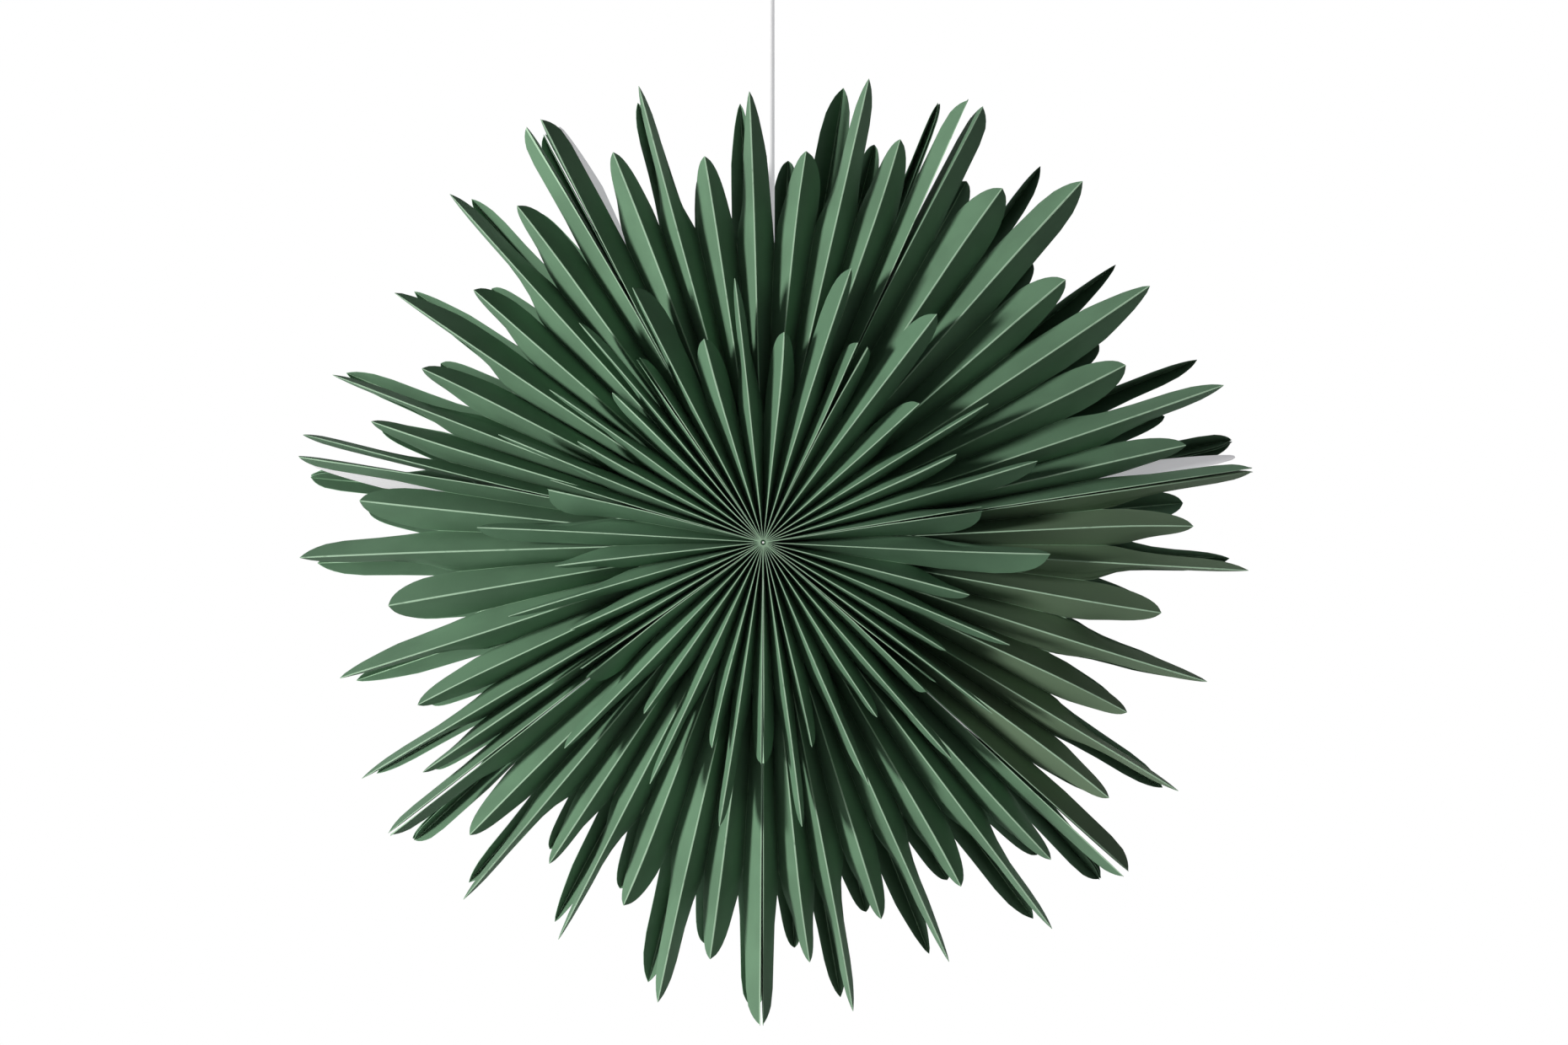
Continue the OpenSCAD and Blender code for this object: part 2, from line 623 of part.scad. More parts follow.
// Bracket screwed to the ceiling, bent down at both ends inside the cup
module ceiling_bracket() {
    color("silver")
    difference() {
        rotate([90, 0, 0])
        linear_extrude(bracket_w, center = true)
        polygon([[-bracket_end, 0], [bracket_end, 0], [bracket_end, -bracket_drop],
            [bracket_end - bracket_t, -bracket_drop], [bracket_end - bracket_t, -bracket_t],
            [bracket_t - bracket_end, -bracket_t], [bracket_t - bracket_end, -bracket_drop],
            [-bracket_end, -bracket_drop]]);
        for (x = [-bracket_hole_gap / 2, bracket_hole_gap / 2])
            translate([x, 0, -bracket_t - 1])
            cylinder(d = bracket_hole_d, h = bracket_t + 2, $fn = 32);
        cup_screw_bore();
    }
}

// Two round-headed screws through the cup's wall into the bracket
module cup_screws() {
    head_t = 1.6;
    color("silver")
    for (turn = [0, 180])
        rotate([0, 0, turn])
        translate([cup_d / 2 + 0.1, 0, cup_screw_z])
        rotate([0, 90, 0]) {
            cylinder(d = 1.8 * cup_screw_d, h = head_t, $fn = 32);
            translate([0, 0, -cup_screw_len])
            cylinder(d = cup_screw_d, h = cup_screw_len + head_t / 2, $fn = 32);
        }
}

for (k = [0:UNITS - 1]) {
    unit(k);
    fan(k, -1);
    fan(k, 1);
    seam_card(k);
}
closing_pads();
hub_core();
hub_pins();
lamp_carrier();
lamp_holder();
shade_ring();
holder_grip();
bulb();
cord();
cup_grip();
ceiling_cup();
ceiling_bracket();
cup_screws();
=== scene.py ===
"""Dresses the paper star lamp: pleated green sheets, white card, cord, lamp parts, and a pale studio.

The star faces -Y. Sheets are made as bands of columns. A column runs from the hub to the cut edge.
Sizes in the tables below are in millimetres and degrees; directions run counter-clockwise from +X.
"""

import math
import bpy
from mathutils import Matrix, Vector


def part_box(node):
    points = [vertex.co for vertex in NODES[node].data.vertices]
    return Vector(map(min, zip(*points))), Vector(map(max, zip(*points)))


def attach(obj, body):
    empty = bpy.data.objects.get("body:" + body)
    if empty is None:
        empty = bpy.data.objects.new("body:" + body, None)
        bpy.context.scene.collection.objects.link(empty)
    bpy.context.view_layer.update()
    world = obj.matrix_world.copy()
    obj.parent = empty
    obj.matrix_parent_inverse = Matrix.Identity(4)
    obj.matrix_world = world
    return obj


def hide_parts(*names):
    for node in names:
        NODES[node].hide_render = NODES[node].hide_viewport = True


bl_info = {
    "name": "Paper star lamp",
    "version": (1, 0, 0),
    "blender": (4, 5, 0),
    "location": "View3D > Sidebar > Paper star",
    "description": "Builds the pleated paper sheets, the cord and the studio round the lamp's frame",
    "category": "Object",
}

import bpy
import numpy as np
from mathutils import Vector

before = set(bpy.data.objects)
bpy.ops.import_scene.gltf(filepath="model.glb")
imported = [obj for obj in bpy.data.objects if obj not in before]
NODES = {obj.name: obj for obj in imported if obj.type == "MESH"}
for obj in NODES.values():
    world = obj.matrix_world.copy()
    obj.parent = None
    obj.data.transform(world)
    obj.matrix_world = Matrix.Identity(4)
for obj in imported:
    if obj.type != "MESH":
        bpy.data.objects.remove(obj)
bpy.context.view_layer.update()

MM = 0.001


def box_centre(node):
    low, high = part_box(node)
    return (low + high) / 2


HUB = np.array(box_centre("hub_core"))

# Star, with the directions and radii of the part's source
UNITS = 7
SEAM_DEG = [8.4, 64.3, 118.8, 168, 218, 269.8, 317.6]
FAN_SEAM_DEG = [8.7, 63.2, 124.2, 164.7, 215.8, 269.8, 319.3]
# How far each seam turns from its front ridges to its rear ones
SEAM_TURN = [3.8, 4, -0.5, 1.5, 0.5, -1, -0.5]
# How far the rear petals in the middle of each unit stand off the turn of its seams
REAR_SWAY = [0.8, -0.3, -2.2, 0, -1.5, -1.2, -1.5]
# Directions of the seven petals between the seams of each unit, read off the photograph
PETAL_DEG = [
    [13.0, 18.7, 25.9, 33.4, 41.2, 48.9, 56.3],
    [70.9, 77.2, 84.2, 91.6, 98.5, 105.4, 110.9],
    [125.9, 132.1, 139.0, 146.0, 152.7, 158.7, 163.2],
    [174.2, 181.7, 189.5, 197.9, 204.8, 210.4, 213.9],
    [224.8, 230.1, 236.3, 242.6, 249.3, 256.8, 262.8],
    [275.9, 281.1, 287.4, 293.8, 300.2, 306.7, 312.0],
    [323.9, 329.1, 335.4, 342.3, 349.7, 356.6, 362.6],
]
FAN_PETAL_DEG = [
    [16.3, 24.0, 31.9, 41.4, 52.9],
    [72.7, 83.5, 95.8, 106.7, 117.3],
    [129.5, 135.0, 143.7, 151.8, 158.0],
    [176.7, 186.2, 195.8, 204.5, 210.5],
    [226.4, 235.4, 245.3, 255.1, 261.7],
    [278.2, 284.0, 293.2, 302.7, 310.9],
    [323.9, 329.7, 337.6, 346.0, 357.2],
]
RIDGE_Y = 50.0
PLEAT_W = 25.0
FAN_RIDGE_Y = 75.3
UNIT_START_R = 9.0
# The ring of petals sits this far off the hub to the right
RING_SHIFT = 7.0
# Half the distance between the two sheets that meet at a seam
SEAM_HALF = 0.55
TAIL_NOTCH_R = 196.0
# Tips and valley cuts from a seam to the middle petal
UNIT_TIPS = [305, 267, 300, 248, 287]
UNIT_NOTCHES = [210, 212, 199, 190]
FAN_TIPS = [139, 180, 133, 167]
FAN_NOTCHES = [92, 92, 79]

# Length of the bulb's screw cap, with half a millimetre to spare
BULB_CAP = 24.5

# Shapes that only this script has, and the unit whose front gets painted warm light
CLOSING_SEAM = 1
# That unit's front is tinted warm: painted warm light bounced onto it, not a change in the paper
WARM_LIT_UNIT = 6
# How far a card's end stands off the turn of its seam at its rear edge, and a rear lobe off its seam
CARD_LEAN = [0.5, -3.5, -4.0, 2.9, 0.7, 0.2, 2.2]
REAR_LEAN = [0, 0, 0, 2.4, 1.9, 0, -2.2]
# The fans' pleats are pressed together up to the pin in the middle
FAN_START_R = 1.7
CARD_T = 0.4
CARD_START_R = 24.0
CARD_END_R = 299.0
CARD_DEPTHS = (-22, 24)
CARD_COLUMNS = 12
# Where a card begins to lean, and the run in which it reaches its full lean
CARD_LEAN_R = 165.0
CARD_LEAN_RUN = 50.0
# How much a card's rear and front corners are cut back, where that begins and the run in which it grows
REAR_CORNER = (44, -4, 28)
FRONT_CORNER = (30, 10, 12)
TAPE_DEPTHS = (-46, -34)
TAPE_COLUMNS = 5
TAPE_RADII = (150, 208)
# The tape's wave along the seam and its slant across it
TAPE_WAVE_DEG = 0.2
TAPE_WAVE_RUN = 9.0
TAPE_SLANT = 0.22

# Outline of half a petal: shares of the panel's width, and the height of the cut there
# between the valley's cut (0) and the tip (1)
SEAM_OUTLINE = (
    [0, 0.2, 0.37, 0.5, 0.6, 0.68, 0.75, 0.9, 1],
    [1, 0.975, 0.94, 0.9, 0.85, 0.74, 0.58, 0.3, 0],
)
BROAD_OUTLINE = (
    [0, 0.25, 0.44, 0.6, 0.78, 0.91, 0.98, 1],
    [1, 0.955, 0.885, 0.79, 0.63, 0.44, 0.22, 0],
)
LONG_OUTLINE = (
    [0, 0.22, 0.36, 0.54, 0.65, 0.72, 0.8, 0.9, 1],
    [1, 0.95, 0.9, 0.81, 0.7, 0.57, 0.4, 0.2, 0],
)
MIDDLE_OUTLINE = (
    [0, 0.18, 0.28, 0.45, 0.59, 0.77, 0.89, 0.97, 1],
    [1, 0.95, 0.9, 0.81, 0.71, 0.59, 0.43, 0.26, 0],
)
UNIT_OUTLINES = [SEAM_OUTLINE, BROAD_OUTLINE, LONG_OUTLINE, BROAD_OUTLINE, MIDDLE_OUTLINE]
FAN_SEAM_OUTLINE = ([0, 0.3, 0.6, 0.85, 0.96, 1], [1, 0.97, 0.87, 0.62, 0.3, 0])
FAN_LONG_OUTLINE = ([0, 0.3, 0.55, 0.8, 0.93, 1], [1, 0.965, 0.9, 0.74, 0.5, 0])
FAN_SHORT_OUTLINE = ([0, 0.3, 0.6, 0.85, 0.96, 1], [1, 0.96, 0.84, 0.6, 0.3, 0])
FAN_MIDDLE_OUTLINE = ([0, 0.25, 0.5, 0.75, 0.92, 1], [1, 0.95, 0.86, 0.68, 0.4, 0])
FAN_OUTLINES = [FAN_SEAM_OUTLINE, FAN_LONG_OUTLINE, FAN_SHORT_OUTLINE, FAN_MIDDLE_OUTLINE]

# How far each flank of a free petal stands open, from the first seam of a unit to its last; 1 is as
# far as its valley holds it. Each pair is the flank on the clockwise side and the one on the other side.
UNIT_OPEN = [
    [
        (0, 0.75), (0.8, 0.95), (0.55, 0.65), (1, 1), (1, 0.85),
        (0.85, 1.1), (0.95, 1), (1, 1), (0.8, 0),
    ],
    [
        (0, 0.9), (0.9, 0.75), (0.75, 0.5), (1.1, 0.72), (0.8, 0.5),
        (0.85, 0.78), (0.45, 0.38), (0.85, 0.65), (0.85, 0),
    ],
    [
        (0, 0.75), (1, 0.55), (0.75, 0.2), (1, 0.42), (1, 0.15),
        (0.88, 0.62), (0.45, 0.3), (0.7, 0.7), (0.4, 0),
    ],
    [
        (0, 0.6), (1, 0.9), (0.85, 0.4), (1, 1), (0.75, 0.25),
        (0.78, 0.72), (0.5, 0.25), (0.35, 0.75), (0.75, 0),
    ],
    [
        (0, 0.6), (0.82, 0.8), (0.4, 0.3), (0.6, 0.5), (0.3, 0.3),
        (0.7, 0.9), (0.55, 0.7), (0.75, 0.8), (0.9, 0),
    ],
    [
        (0, 0.75), (0.55, 0.6), (0.5, 0.4), (0.6, 0.8), (0.4, 0.4),
        (0.6, 0.85), (0.35, 0.42), (0.7, 0.65), (0.8, 0),
    ],
    [
        (0, 1.0), (0.7, 0.7), (0.4, 0.3), (0.75, 0.65), (0.5, 0.5),
        (0.75, 0.95), (0.2, 0.7), (0.6, 0.9), (0.5, 0),
    ],
]
FAN_OPEN = [
    [(0, 0.4), (1.1, 0.3), (0.8, 0.35), (0.5, 0.25), (0.3, 0.9), (0.7, 1), (0.7, 0)],
    [(0, 1), (0.4, 0.8), (0.8, 0.8), (0.4, 0.3), (1, 0.9), (1.1, 0.2), (1, 0)],
    [(0, 0.3), (0.9, 0.2), (0.5, 0.7), (0.3, 0.3), (0.3, 0.5), (0.5, 0.3), (0.3, 0)],
    [(0, 1.3), (0.3, 0.8), (0.4, 0.4), (0.2, 0.5), (0.5, 0.4), (0.3, 0.3), (0.4, 0)],
    [(0, 1.2), (0.5, 0.3), (0.5, 0.4), (0.4, 0.3), (0.6, 0.6), (0.4, 0.5), (0.8, 0)],
    [(0, 1), (0.4, 0.5), (0.4, 0.7), (0.5, 0.4), (0.4, 0.6), (0.4, 0.4), (0.9, 0)],
    [(0, 0.3), (0.4, 0.3), (0.6, 0.5), (0.6, 0.3), (0.9, 0.3), (1.1, 0.35), (1.1, 0)],
]
REAR_OPEN = 0.8
# Rear petals of a unit that stand open otherwise, by their place in it
REAR_OPEN_AT = [
    {2: (0.8, 0.3), 4: (0.8, 0.3), 6: (0.8, 0.3), 8: (0.35, 0)},
    {0: (0, 0.25), 2: (0.9, 1.1)},
    {},
    {},
    {},
    {},
    {4: (0.6, 0.5), 6: (0.8, 0.35)},
]
# How far the two tips at each seam stand off it, clockwise and counter-clockwise
SEAM_GAPS = [(0.6, 0.6), (5.0, 4.0), (5.0, 4.2), (5.7, 7.6), (0.5, 0.5), (0.3, 0.3), (1.8, 1.3)]
FAN_GAPS = [(0.7, 0.7), (2.5, 2.8), (0.4, 0.4), (1.8, 2.8), (2.2, 3.2), (0.2, 0.2), (3.6, 3.6)]

# Columns across a panel and rows along it
FOLD_SHARE = 0.03
SHARES = [0, FOLD_SHARE, 0.14, 0.27, 0.4, 0.53, 0.66, 0.78, 0.88, 1 - FOLD_SHARE, 1]
ROWS = np.array([0, 0.14, 0.28, 0.42, 0.54, 0.64, 0.72, 0.79, 0.85, 0.9, 0.94, 0.975, 1])
TAIL_DEPTHS = [-25, -12.5, 0, 12.5, 25]
# A column with this mark instead of a share lies on a plain panel, without a fold
PLAIN = 2
# How worn a valley's fold is, against a ridge's
VALLEY_WEAR = 0.75
# Start of a seam's opening as a share of its tips' radius, and how the opening grows from there
GAP_START = 0.52
GAP_POWER = 1.2
# Depth from the middle of the star at which an end panel begins to follow its seam's opening
GAP_START_Y = 5.0
# How much less a fan's flange stands open where it meets the unit
FLANGE_HELD = 0.6
# Run in which a free petal opens past its notch, and how much its flanks widen with the radius there
FREE_RUN = 34.0
GROWTH = 0.8
# Largest share of its flat width that a panel spans, sideways or in depth
WIDEST = 0.97
# Widths of a crest at the hub and at the very tip, against its full width, and where it begins to narrow
CREST_AT_HUB = 0.3
CREST_AT_TIP = 0.4
CREST_NARROWS = 0.95
# Width of a fan's crests against a unit's
FAN_CREST = 0.9

# Radius and depth at which the painted warm light on the paper begins, and the runs in which it grows
WARM_LIT_START_R = 95
WARM_LIT_RUN = 70
WARM_LIT_START_Y = 5
WARM_LIT_DEPTH = 20

# Spread of what differs from petal to petal, as normal distributions
SEED = 11
FAN_SEED = 31
SEAM_BOW = (0, 0.4)
FREE_BOW = (0, 1.0)
DIP = (0.4, 0.8)
BELLY = (0.5, 0.35)
SEAM_TIP_CUT = 1.0
TIP_CUT = (0, 1.4)
VALLEY_DEG = (0, 0.1)
VALLEY_CUT = (0, 1.2)


def make_group(prefix, settings):
    """Pointer property to a settings group, on the scene."""
    setattr(bpy.types.Scene, prefix, bpy.props.PointerProperty(type=settings))


# Shapes


def place(r, deg, side, y):
    """Place in metres of a point by its distance from the hub, direction, sideways shift and depth."""
    r, deg, side, y = np.broadcast_arrays(*[np.asarray(v, float) for v in (r, deg, side, y)])
    a = np.radians(deg)
    x = r * np.cos(a) - side * np.sin(a)
    z = r * np.sin(a) + side * np.cos(a)
    return HUB + np.stack([x, y, z], axis=-1) * MM


def across(deg):
    """Step of one millimetre sideways, square to a direction."""
    return place(0, deg, 1, 0) - place(0, deg, 0, 0)


def ring_reach(deg, ring=RING_SHIFT):
    """What the shift of the ring of petals adds to a radius in a direction."""
    return ring * math.cos(math.radians(deg))


def mix(a, b, share):
    return a + (b - a) * share


def mirrored(values, i, last):
    """Value of petal or valley i, in a list that runs from a seam to the middle."""
    return values[min(i, last - i)]


def smooth_curve(xs, ys, x):
    """Value at x of a curve through points that neither overshoots nor swings between them."""
    xs, ys = np.asarray(xs, float), np.asarray(ys, float)
    gaps = np.diff(xs)
    slopes = np.diff(ys) / gaps
    ends = np.empty(len(xs))
    ends[0], ends[-1] = slopes[0], slopes[-1]
    for i in range(1, len(slopes)):
        same = slopes[i - 1] * slopes[i] > 0
        ends[i] = 2 / (1 / slopes[i - 1] + 1 / slopes[i]) if same else 0
    i = min(max(int(np.searchsorted(xs, x)) - 1, 0), len(gaps) - 1)
    t = (x - xs[i]) / gaps[i]
    return (
        (1 + 2 * t) * (1 - t) ** 2 * ys[i]
        + t * (1 - t) ** 2 * gaps[i] * ends[i]
        + t * t * (3 - 2 * t) * ys[i + 1]
        + t * t * (t - 1) * gaps[i] * ends[i + 1]
    )


class Petal:
    """What one petal's two flanks share: its ridge, its tip and how its free end bends."""

    def __init__(self, deg, hub_deg, tip, outline, opens, side, gap, rng):
        self.deg = deg
        self.hub_deg = hub_deg
        self.tip = tip
        self.outline = outline
        self.opens = opens
        self.side = side
        self.gap = gap
        self.bow = rng.normal(*(SEAM_BOW if side else FREE_BOW))
        self.dip = abs(rng.normal(*DIP))
        self.belly = rng.normal(*BELLY)


class Sheet:
    """Settings of one pleated side: its depths, start radius and direction of folding."""

    def __init__(self, depth_side, ridge, width, start_r, crest):
        self.inward = -depth_side
        self.ridge = depth_side * ridge
        self.width = width
        self.start_r = start_r
        self.crest = crest


def crest_half(sheet, rows):
    """Half the width of a ridge's rounded crest, from the hub to the tip."""
    end = np.clip((rows - CREST_NARROWS) / (1 - CREST_NARROWS), 0, 1)
    return sheet.crest * mix(CREST_AT_HUB, 1.0, np.sqrt(rows)) * mix(1.0, CREST_AT_TIP, end)


def gap_share(r, tip):
    """How far a seam's opening has grown at a radius, from its start to the tip."""
    return np.clip((r / tip - GAP_START) / (1 - GAP_START), 0, 1.1) ** GAP_POWER


def smoothstep(t):
    t = np.clip(t, 0, 1)
    return t * t * (3 - 2 * t)


def flank(sheet, petal, valley, shares, sign):
    """Columns of one flank between a petal's ridge and a valley, by shares of the panel's width."""
    valley_deg, valley_hub_deg, notch = valley
    swing = math.radians(valley_deg - petal.deg)
    reach = notch * math.sin(swing)
    low = notch * math.cos(swing)
    width = sheet.width
    opening = petal.opens[0 if sign < 0 else 1]
    hub_ridge = place(sheet.start_r, petal.hub_deg, 0, sheet.ridge)
    hub_valley = place(sheet.start_r, valley_hub_deg, 0, sheet.ridge + sheet.inward * width * WIDEST)
    depth_at_low = math.sqrt(width**2 - reach**2)
    columns = []
    for share in shares:
        edge = low + (petal.tip - low) * smooth_curve(*petal.outline, share)
        r = sheet.start_r + (edge - sheet.start_r) * ROWS
        free = np.clip((r - low) / (petal.tip - low), 0, 1)
        opened = 1 + (opening - 1) * smoothstep((r - low) / FREE_RUN)
        grown = 1 + GROWTH * np.maximum(r / low - 1, 0)
        lateral = np.minimum(abs(reach) * grown * opened, width * WIDEST)
        depth = sheet.ridge + sheet.inward * share * np.sqrt(width**2 - lateral**2)
        outer = place(r, petal.deg, petal.side + share * (sign * lateral - petal.side), depth)
        inner = np.clip((r - sheet.start_r) / (low - sheet.start_r), 0, 1)[:, None]
        low_depth = sheet.ridge + sheet.inward * share * depth_at_low
        at_low = place(low, petal.deg, mix(petal.side, reach, share), low_depth)
        column = np.where(r[:, None] > low, outer, mix(mix(hub_ridge, hub_valley, share), at_low, inner))
        held = 1 - share * (1 - smoothstep((r - low) / FREE_RUN))
        crest = crest_half(sheet, ROWS) * sign * (1 - share) ** 6
        belly = petal.belly * math.sin(math.pi * share) * np.sin(math.pi * np.clip(ROWS, 0, 0.98)) * sign
        sideways = petal.bow * free**1.7 + petal.gap * gap_share(r, petal.tip) * held + crest + belly
        column = column + across(petal.deg) * sideways[:, None]
        column[:, 1] += sheet.inward * petal.dip * free**2 * MM
        columns.append(column)
    return columns


def hub_directions(sheet, degs):
    """Directions of ridges and valleys at the hub, where they're packed evenly between the seams."""
    pitch = (degs[-1] - degs[0]) / (2 * len(degs) - 2)
    spread = min(math.degrees(SEAM_HALF / sheet.start_r), pitch * 0.4)
    return np.linspace(degs[0] + spread, degs[-1] - spread, 2 * len(degs) - 1)


def pleats(sheet, degs, form, opens, gaps, rng, ring):
    """Columns of a pleated side from its first seam ridge to its last, with fold marks."""
    tips, notches, outlines = form
    last = len(degs) - 1
    hub_degs = hub_directions(sheet, degs)
    petals = []
    for i, deg in enumerate(degs):
        tip = mirrored(tips, i, last) + ring_reach(deg, ring)
        tip -= SEAM_TIP_CUT if i in (0, last) else abs(rng.normal(*TIP_CUT))
        side = {0: SEAM_HALF, last: -SEAM_HALF}.get(i, 0)
        gap = {0: gaps[0], last: -gaps[1]}.get(i, 0)
        outline = mirrored(outlines, i, last)
        petals.append(Petal(deg, hub_degs[2 * i], tip, outline, opens[i], side, gap, rng))
    valleys = []
    for i, (a, b) in enumerate(zip(degs, degs[1:])):
        deg = (a + b) / 2 + rng.normal(*VALLEY_DEG)
        cut = mirrored(notches, i, last - 1) + ring_reach(deg, ring) + rng.normal(*VALLEY_CUT)
        valleys.append((deg, hub_degs[2 * i + 1], cut))
    shares = np.array(SHARES)
    columns, marks = [seam_crest(sheet, petals[0])], [0]
    for i, petal in enumerate(petals):
        if i > 0:
            columns += flank(sheet, petal, valleys[i - 1], shares[::-1][1:], -1)
            marks += list(shares[::-1][1:])
        if i < last:
            columns += flank(sheet, petal, valleys[i], shares, 1)
            marks += list(shares)
    columns.append(seam_crest(sheet, petals[-1]))
    marks.append(0)
    return columns, marks


def seam_crest(sheet, petal):
    """The seam's side of a seam ridge's crest."""
    r = sheet.start_r + (petal.tip - sheet.start_r) * ROWS
    start = place(sheet.start_r, petal.hub_deg, 0, sheet.ridge)
    end = place(petal.tip, petal.deg, petal.side, sheet.ridge)
    shift = petal.gap * gap_share(r, petal.tip)
    return mix(start, end, ROWS[:, None]) + across(petal.deg) * shift[:, None]


def seam_at(k, y):
    """Direction of a unit's seam at a depth."""
    k %= UNITS
    return SEAM_DEG[k] + SEAM_TURN[k] * (y + RIDGE_Y) / (2 * RIDGE_Y)


def tail_r(k, y):
    """Radius of the end panel's cut at a depth: a lobe in front, a lobe behind, a fishtail between."""
    share = min(1, (RIDGE_Y - abs(y)) / PLEAT_W)
    height = smooth_curve(*SEAM_OUTLINE, share)
    return TAIL_NOTCH_R + (UNIT_TIPS[0] - TAIL_NOTCH_R) * height + ring_reach(seam_at(k, y))


def panel_depths():
    """Depths of an end panel's columns, from front to rear."""
    lobe = [share * PLEAT_W - RIDGE_Y for share in SHARES[1:-1]]
    return lobe + TAIL_DEPTHS + [-y for y in lobe[::-1]]


def end_panel(k, side):
    """Columns of an end panel from front to rear; side is 1 at a unit's first seam, -1 at its last."""
    front_gap = side * SEAM_GAPS[k % UNITS][1 if side > 0 else 0]
    columns = []
    for y in panel_depths():
        deg = seam_at(k, y)
        start = place(UNIT_START_R, deg + side * math.degrees(SEAM_HALF / UNIT_START_R), 0, y)
        edge = tail_r(k, y)
        column = mix(start, place(edge, deg, side * SEAM_HALF, y), ROWS[:, None])
        gap = front_gap if y < 0 else rear_lean(k)
        fade = np.clip((abs(y) - GAP_START_Y) / (RIDGE_Y - GAP_START_Y), 0, 1)
        r = UNIT_START_R + (edge - UNIT_START_R) * ROWS
        shift = gap * fade * gap_share(r, UNIT_TIPS[0])
        columns.append(column + across(deg) * shift[:, None])
    return columns


def band_mesh(name, columns, marks, closed):
    """Mesh of a band of columns. The marks name each column's share, where 0 and 1 are folds."""
    grid = np.array(columns)
    count, rows = grid.shape[:2]
    verts = grid.reshape(-1, 3)
    faces = []
    for c in range(count if closed else count - 1):
        d = (c + 1) % count
        for r in range(rows - 1):
            faces.append((c * rows + r, c * rows + r + 1, d * rows + r + 1, d * rows + r))
    mesh = bpy.data.meshes.new(name)
    mesh.from_pydata([tuple(v) for v in verts], [], faces)
    mesh.shade_smooth()
    marks = np.asarray(marks, float)
    ridge = marks < FOLD_SHARE / 2
    valley = marks > 1 - FOLD_SHARE / 2
    fold = np.where(ridge, 1.0, np.where(valley, VALLEY_WEAR, 0.0))
    fold[marks == PLAIN] = 0.0
    store(mesh, "fold", np.repeat(fold, rows))
    folded = np.repeat((ridge | valley) & (marks != PLAIN), rows)
    first_last = np.tile(np.isin(np.arange(rows), (0, rows - 1)), count)
    sharp = np.zeros(len(mesh.edges), bool)
    ends = np.empty(len(mesh.edges) * 2, int)
    mesh.edges.foreach_get("vertices", ends)
    a, b = ends.reshape(-1, 2).T
    same_column = a // rows == b // rows
    sharp |= same_column & folded[a]
    sharp |= ~same_column & first_last[a] & first_last[b]
    if not closed:
        border = (a // rows == 0) | (a // rows == count - 1)
        sharp |= same_column & border
    mesh.attributes.new("sharp_edge", "BOOLEAN", "EDGE").data.foreach_set("value", sharp)
    return mesh


def store(mesh, name, values):
    attribute = mesh.attributes.new(name, "FLOAT", "POINT")
    attribute.data.foreach_set("value", np.asarray(values, np.float32))


def mark_warm_lit(mesh, sheet_share):
    """Weight of the painted warm light, a warmer tint in the paper: outwards from the fans and only on the
    front.
    """
    co = np.empty(len(mesh.vertices) * 3)
    mesh.vertices.foreach_get("co", co)
    rel = (co.reshape(-1, 3) - HUB) / MM
    out = np.clip((np.hypot(rel[:, 0], rel[:, 2]) - WARM_LIT_START_R) / WARM_LIT_RUN, 0, 1)
    front = np.clip((WARM_LIT_START_Y - rel[:, 1]) / WARM_LIT_DEPTH, 0, 1)
    # The 'fade' attribute holds this weight of painted warm light
    store(mesh, "fade", out * front * sheet_share)


def add_object(name, data):
    thing = bpy.data.objects.new(name, data)
    bpy.context.scene.collection.objects.link(thing)
    return thing


def finish_sheet(name, mesh, materials, thickness, node):
    """Object of a paper sheet with its thickness, riding on the lamp in place of its CAD node."""
    sheet = add_object(name, mesh)
    for material in materials:
        mesh.materials.append(material)
    solid = sheet.modifiers.new("Paper thickness", "SOLIDIFY")
    solid.thickness = thickness
    solid.offset = -1
    solid.material_offset_rim = 1
    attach(sheet, "root")
    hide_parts(node)
    return sheet


# Materials

CUT_ROUGHNESS = 0.8
# Strength of the painted glow on the white card and on the cord's pale sheath: emission that keeps them
# pale in shade, though neither is a lamp
CARD_PAINTED_GLOW = 0.35
CORD_PAINTED_GLOW = 0.4


def cut_colour(colour):
    """Colour of a sheet's cut edge, where its paler core shows."""
    return tuple(c * 1.5 for c in colour)


def new_material(name):
    material = bpy.data.materials.new(name)
    material.use_nodes = True
    tree = material.node_tree
    return material, tree, tree.nodes["Principled BSDF"]


def add_node(tree, kind, **values):
    made = tree.nodes.new(kind)
    for key, value in values.items():
        setattr(made, key, value)
    return made


def noise(tree, coords, scale, detail=3.0, roughness=0.5):
    made = add_node(tree, "ShaderNodeTexNoise")
    made.inputs["Scale"].default_value = scale
    made.inputs["Detail"].default_value = detail
    made.inputs["Roughness"].default_value = roughness
    tree.links.new(coords, made.inputs["Vector"])
    return made.outputs["Fac"]


def ramp(tree, value, low, high):
    made = add_node(tree, "ShaderNodeMapRange", interpolation_type="SMOOTHSTEP")
    made.inputs["From Min"].default_value = low
    made.inputs["From Max"].default_value = high
    tree.links.new(value, made.inputs["Value"])
    return made.outputs["Result"]


def blend(tree, factor, first, second):
    """Colour between two, each a colour or an output."""
    made = add_node(tree, "ShaderNodeMix", data_type="RGBA")
    if isinstance(factor, (int, float)):
        made.inputs["Factor"].default_value = factor
    else:
        tree.links.new(factor, made.inputs["Factor"])
    for key, value in (("A", first), ("B", second)):
        socket = [s for s in made.inputs if s.name == key and s.type == "RGBA"][0]
        if isinstance(value, tuple):
            socket.default_value = (*value, 1)
        else:
            tree.links.new(value, socket)
    return [s for s in made.outputs if s.type == "RGBA"][0]


def multiply(tree, first, second):
    made = add_node(tree, "ShaderNodeMath", operation="MULTIPLY")
    for socket, value in zip(made.inputs, (first, second)):
        if isinstance(value, (int, float)):
            socket.default_value = value
        else:
            tree.links.new(value, socket)
    return made.outputs["Value"]


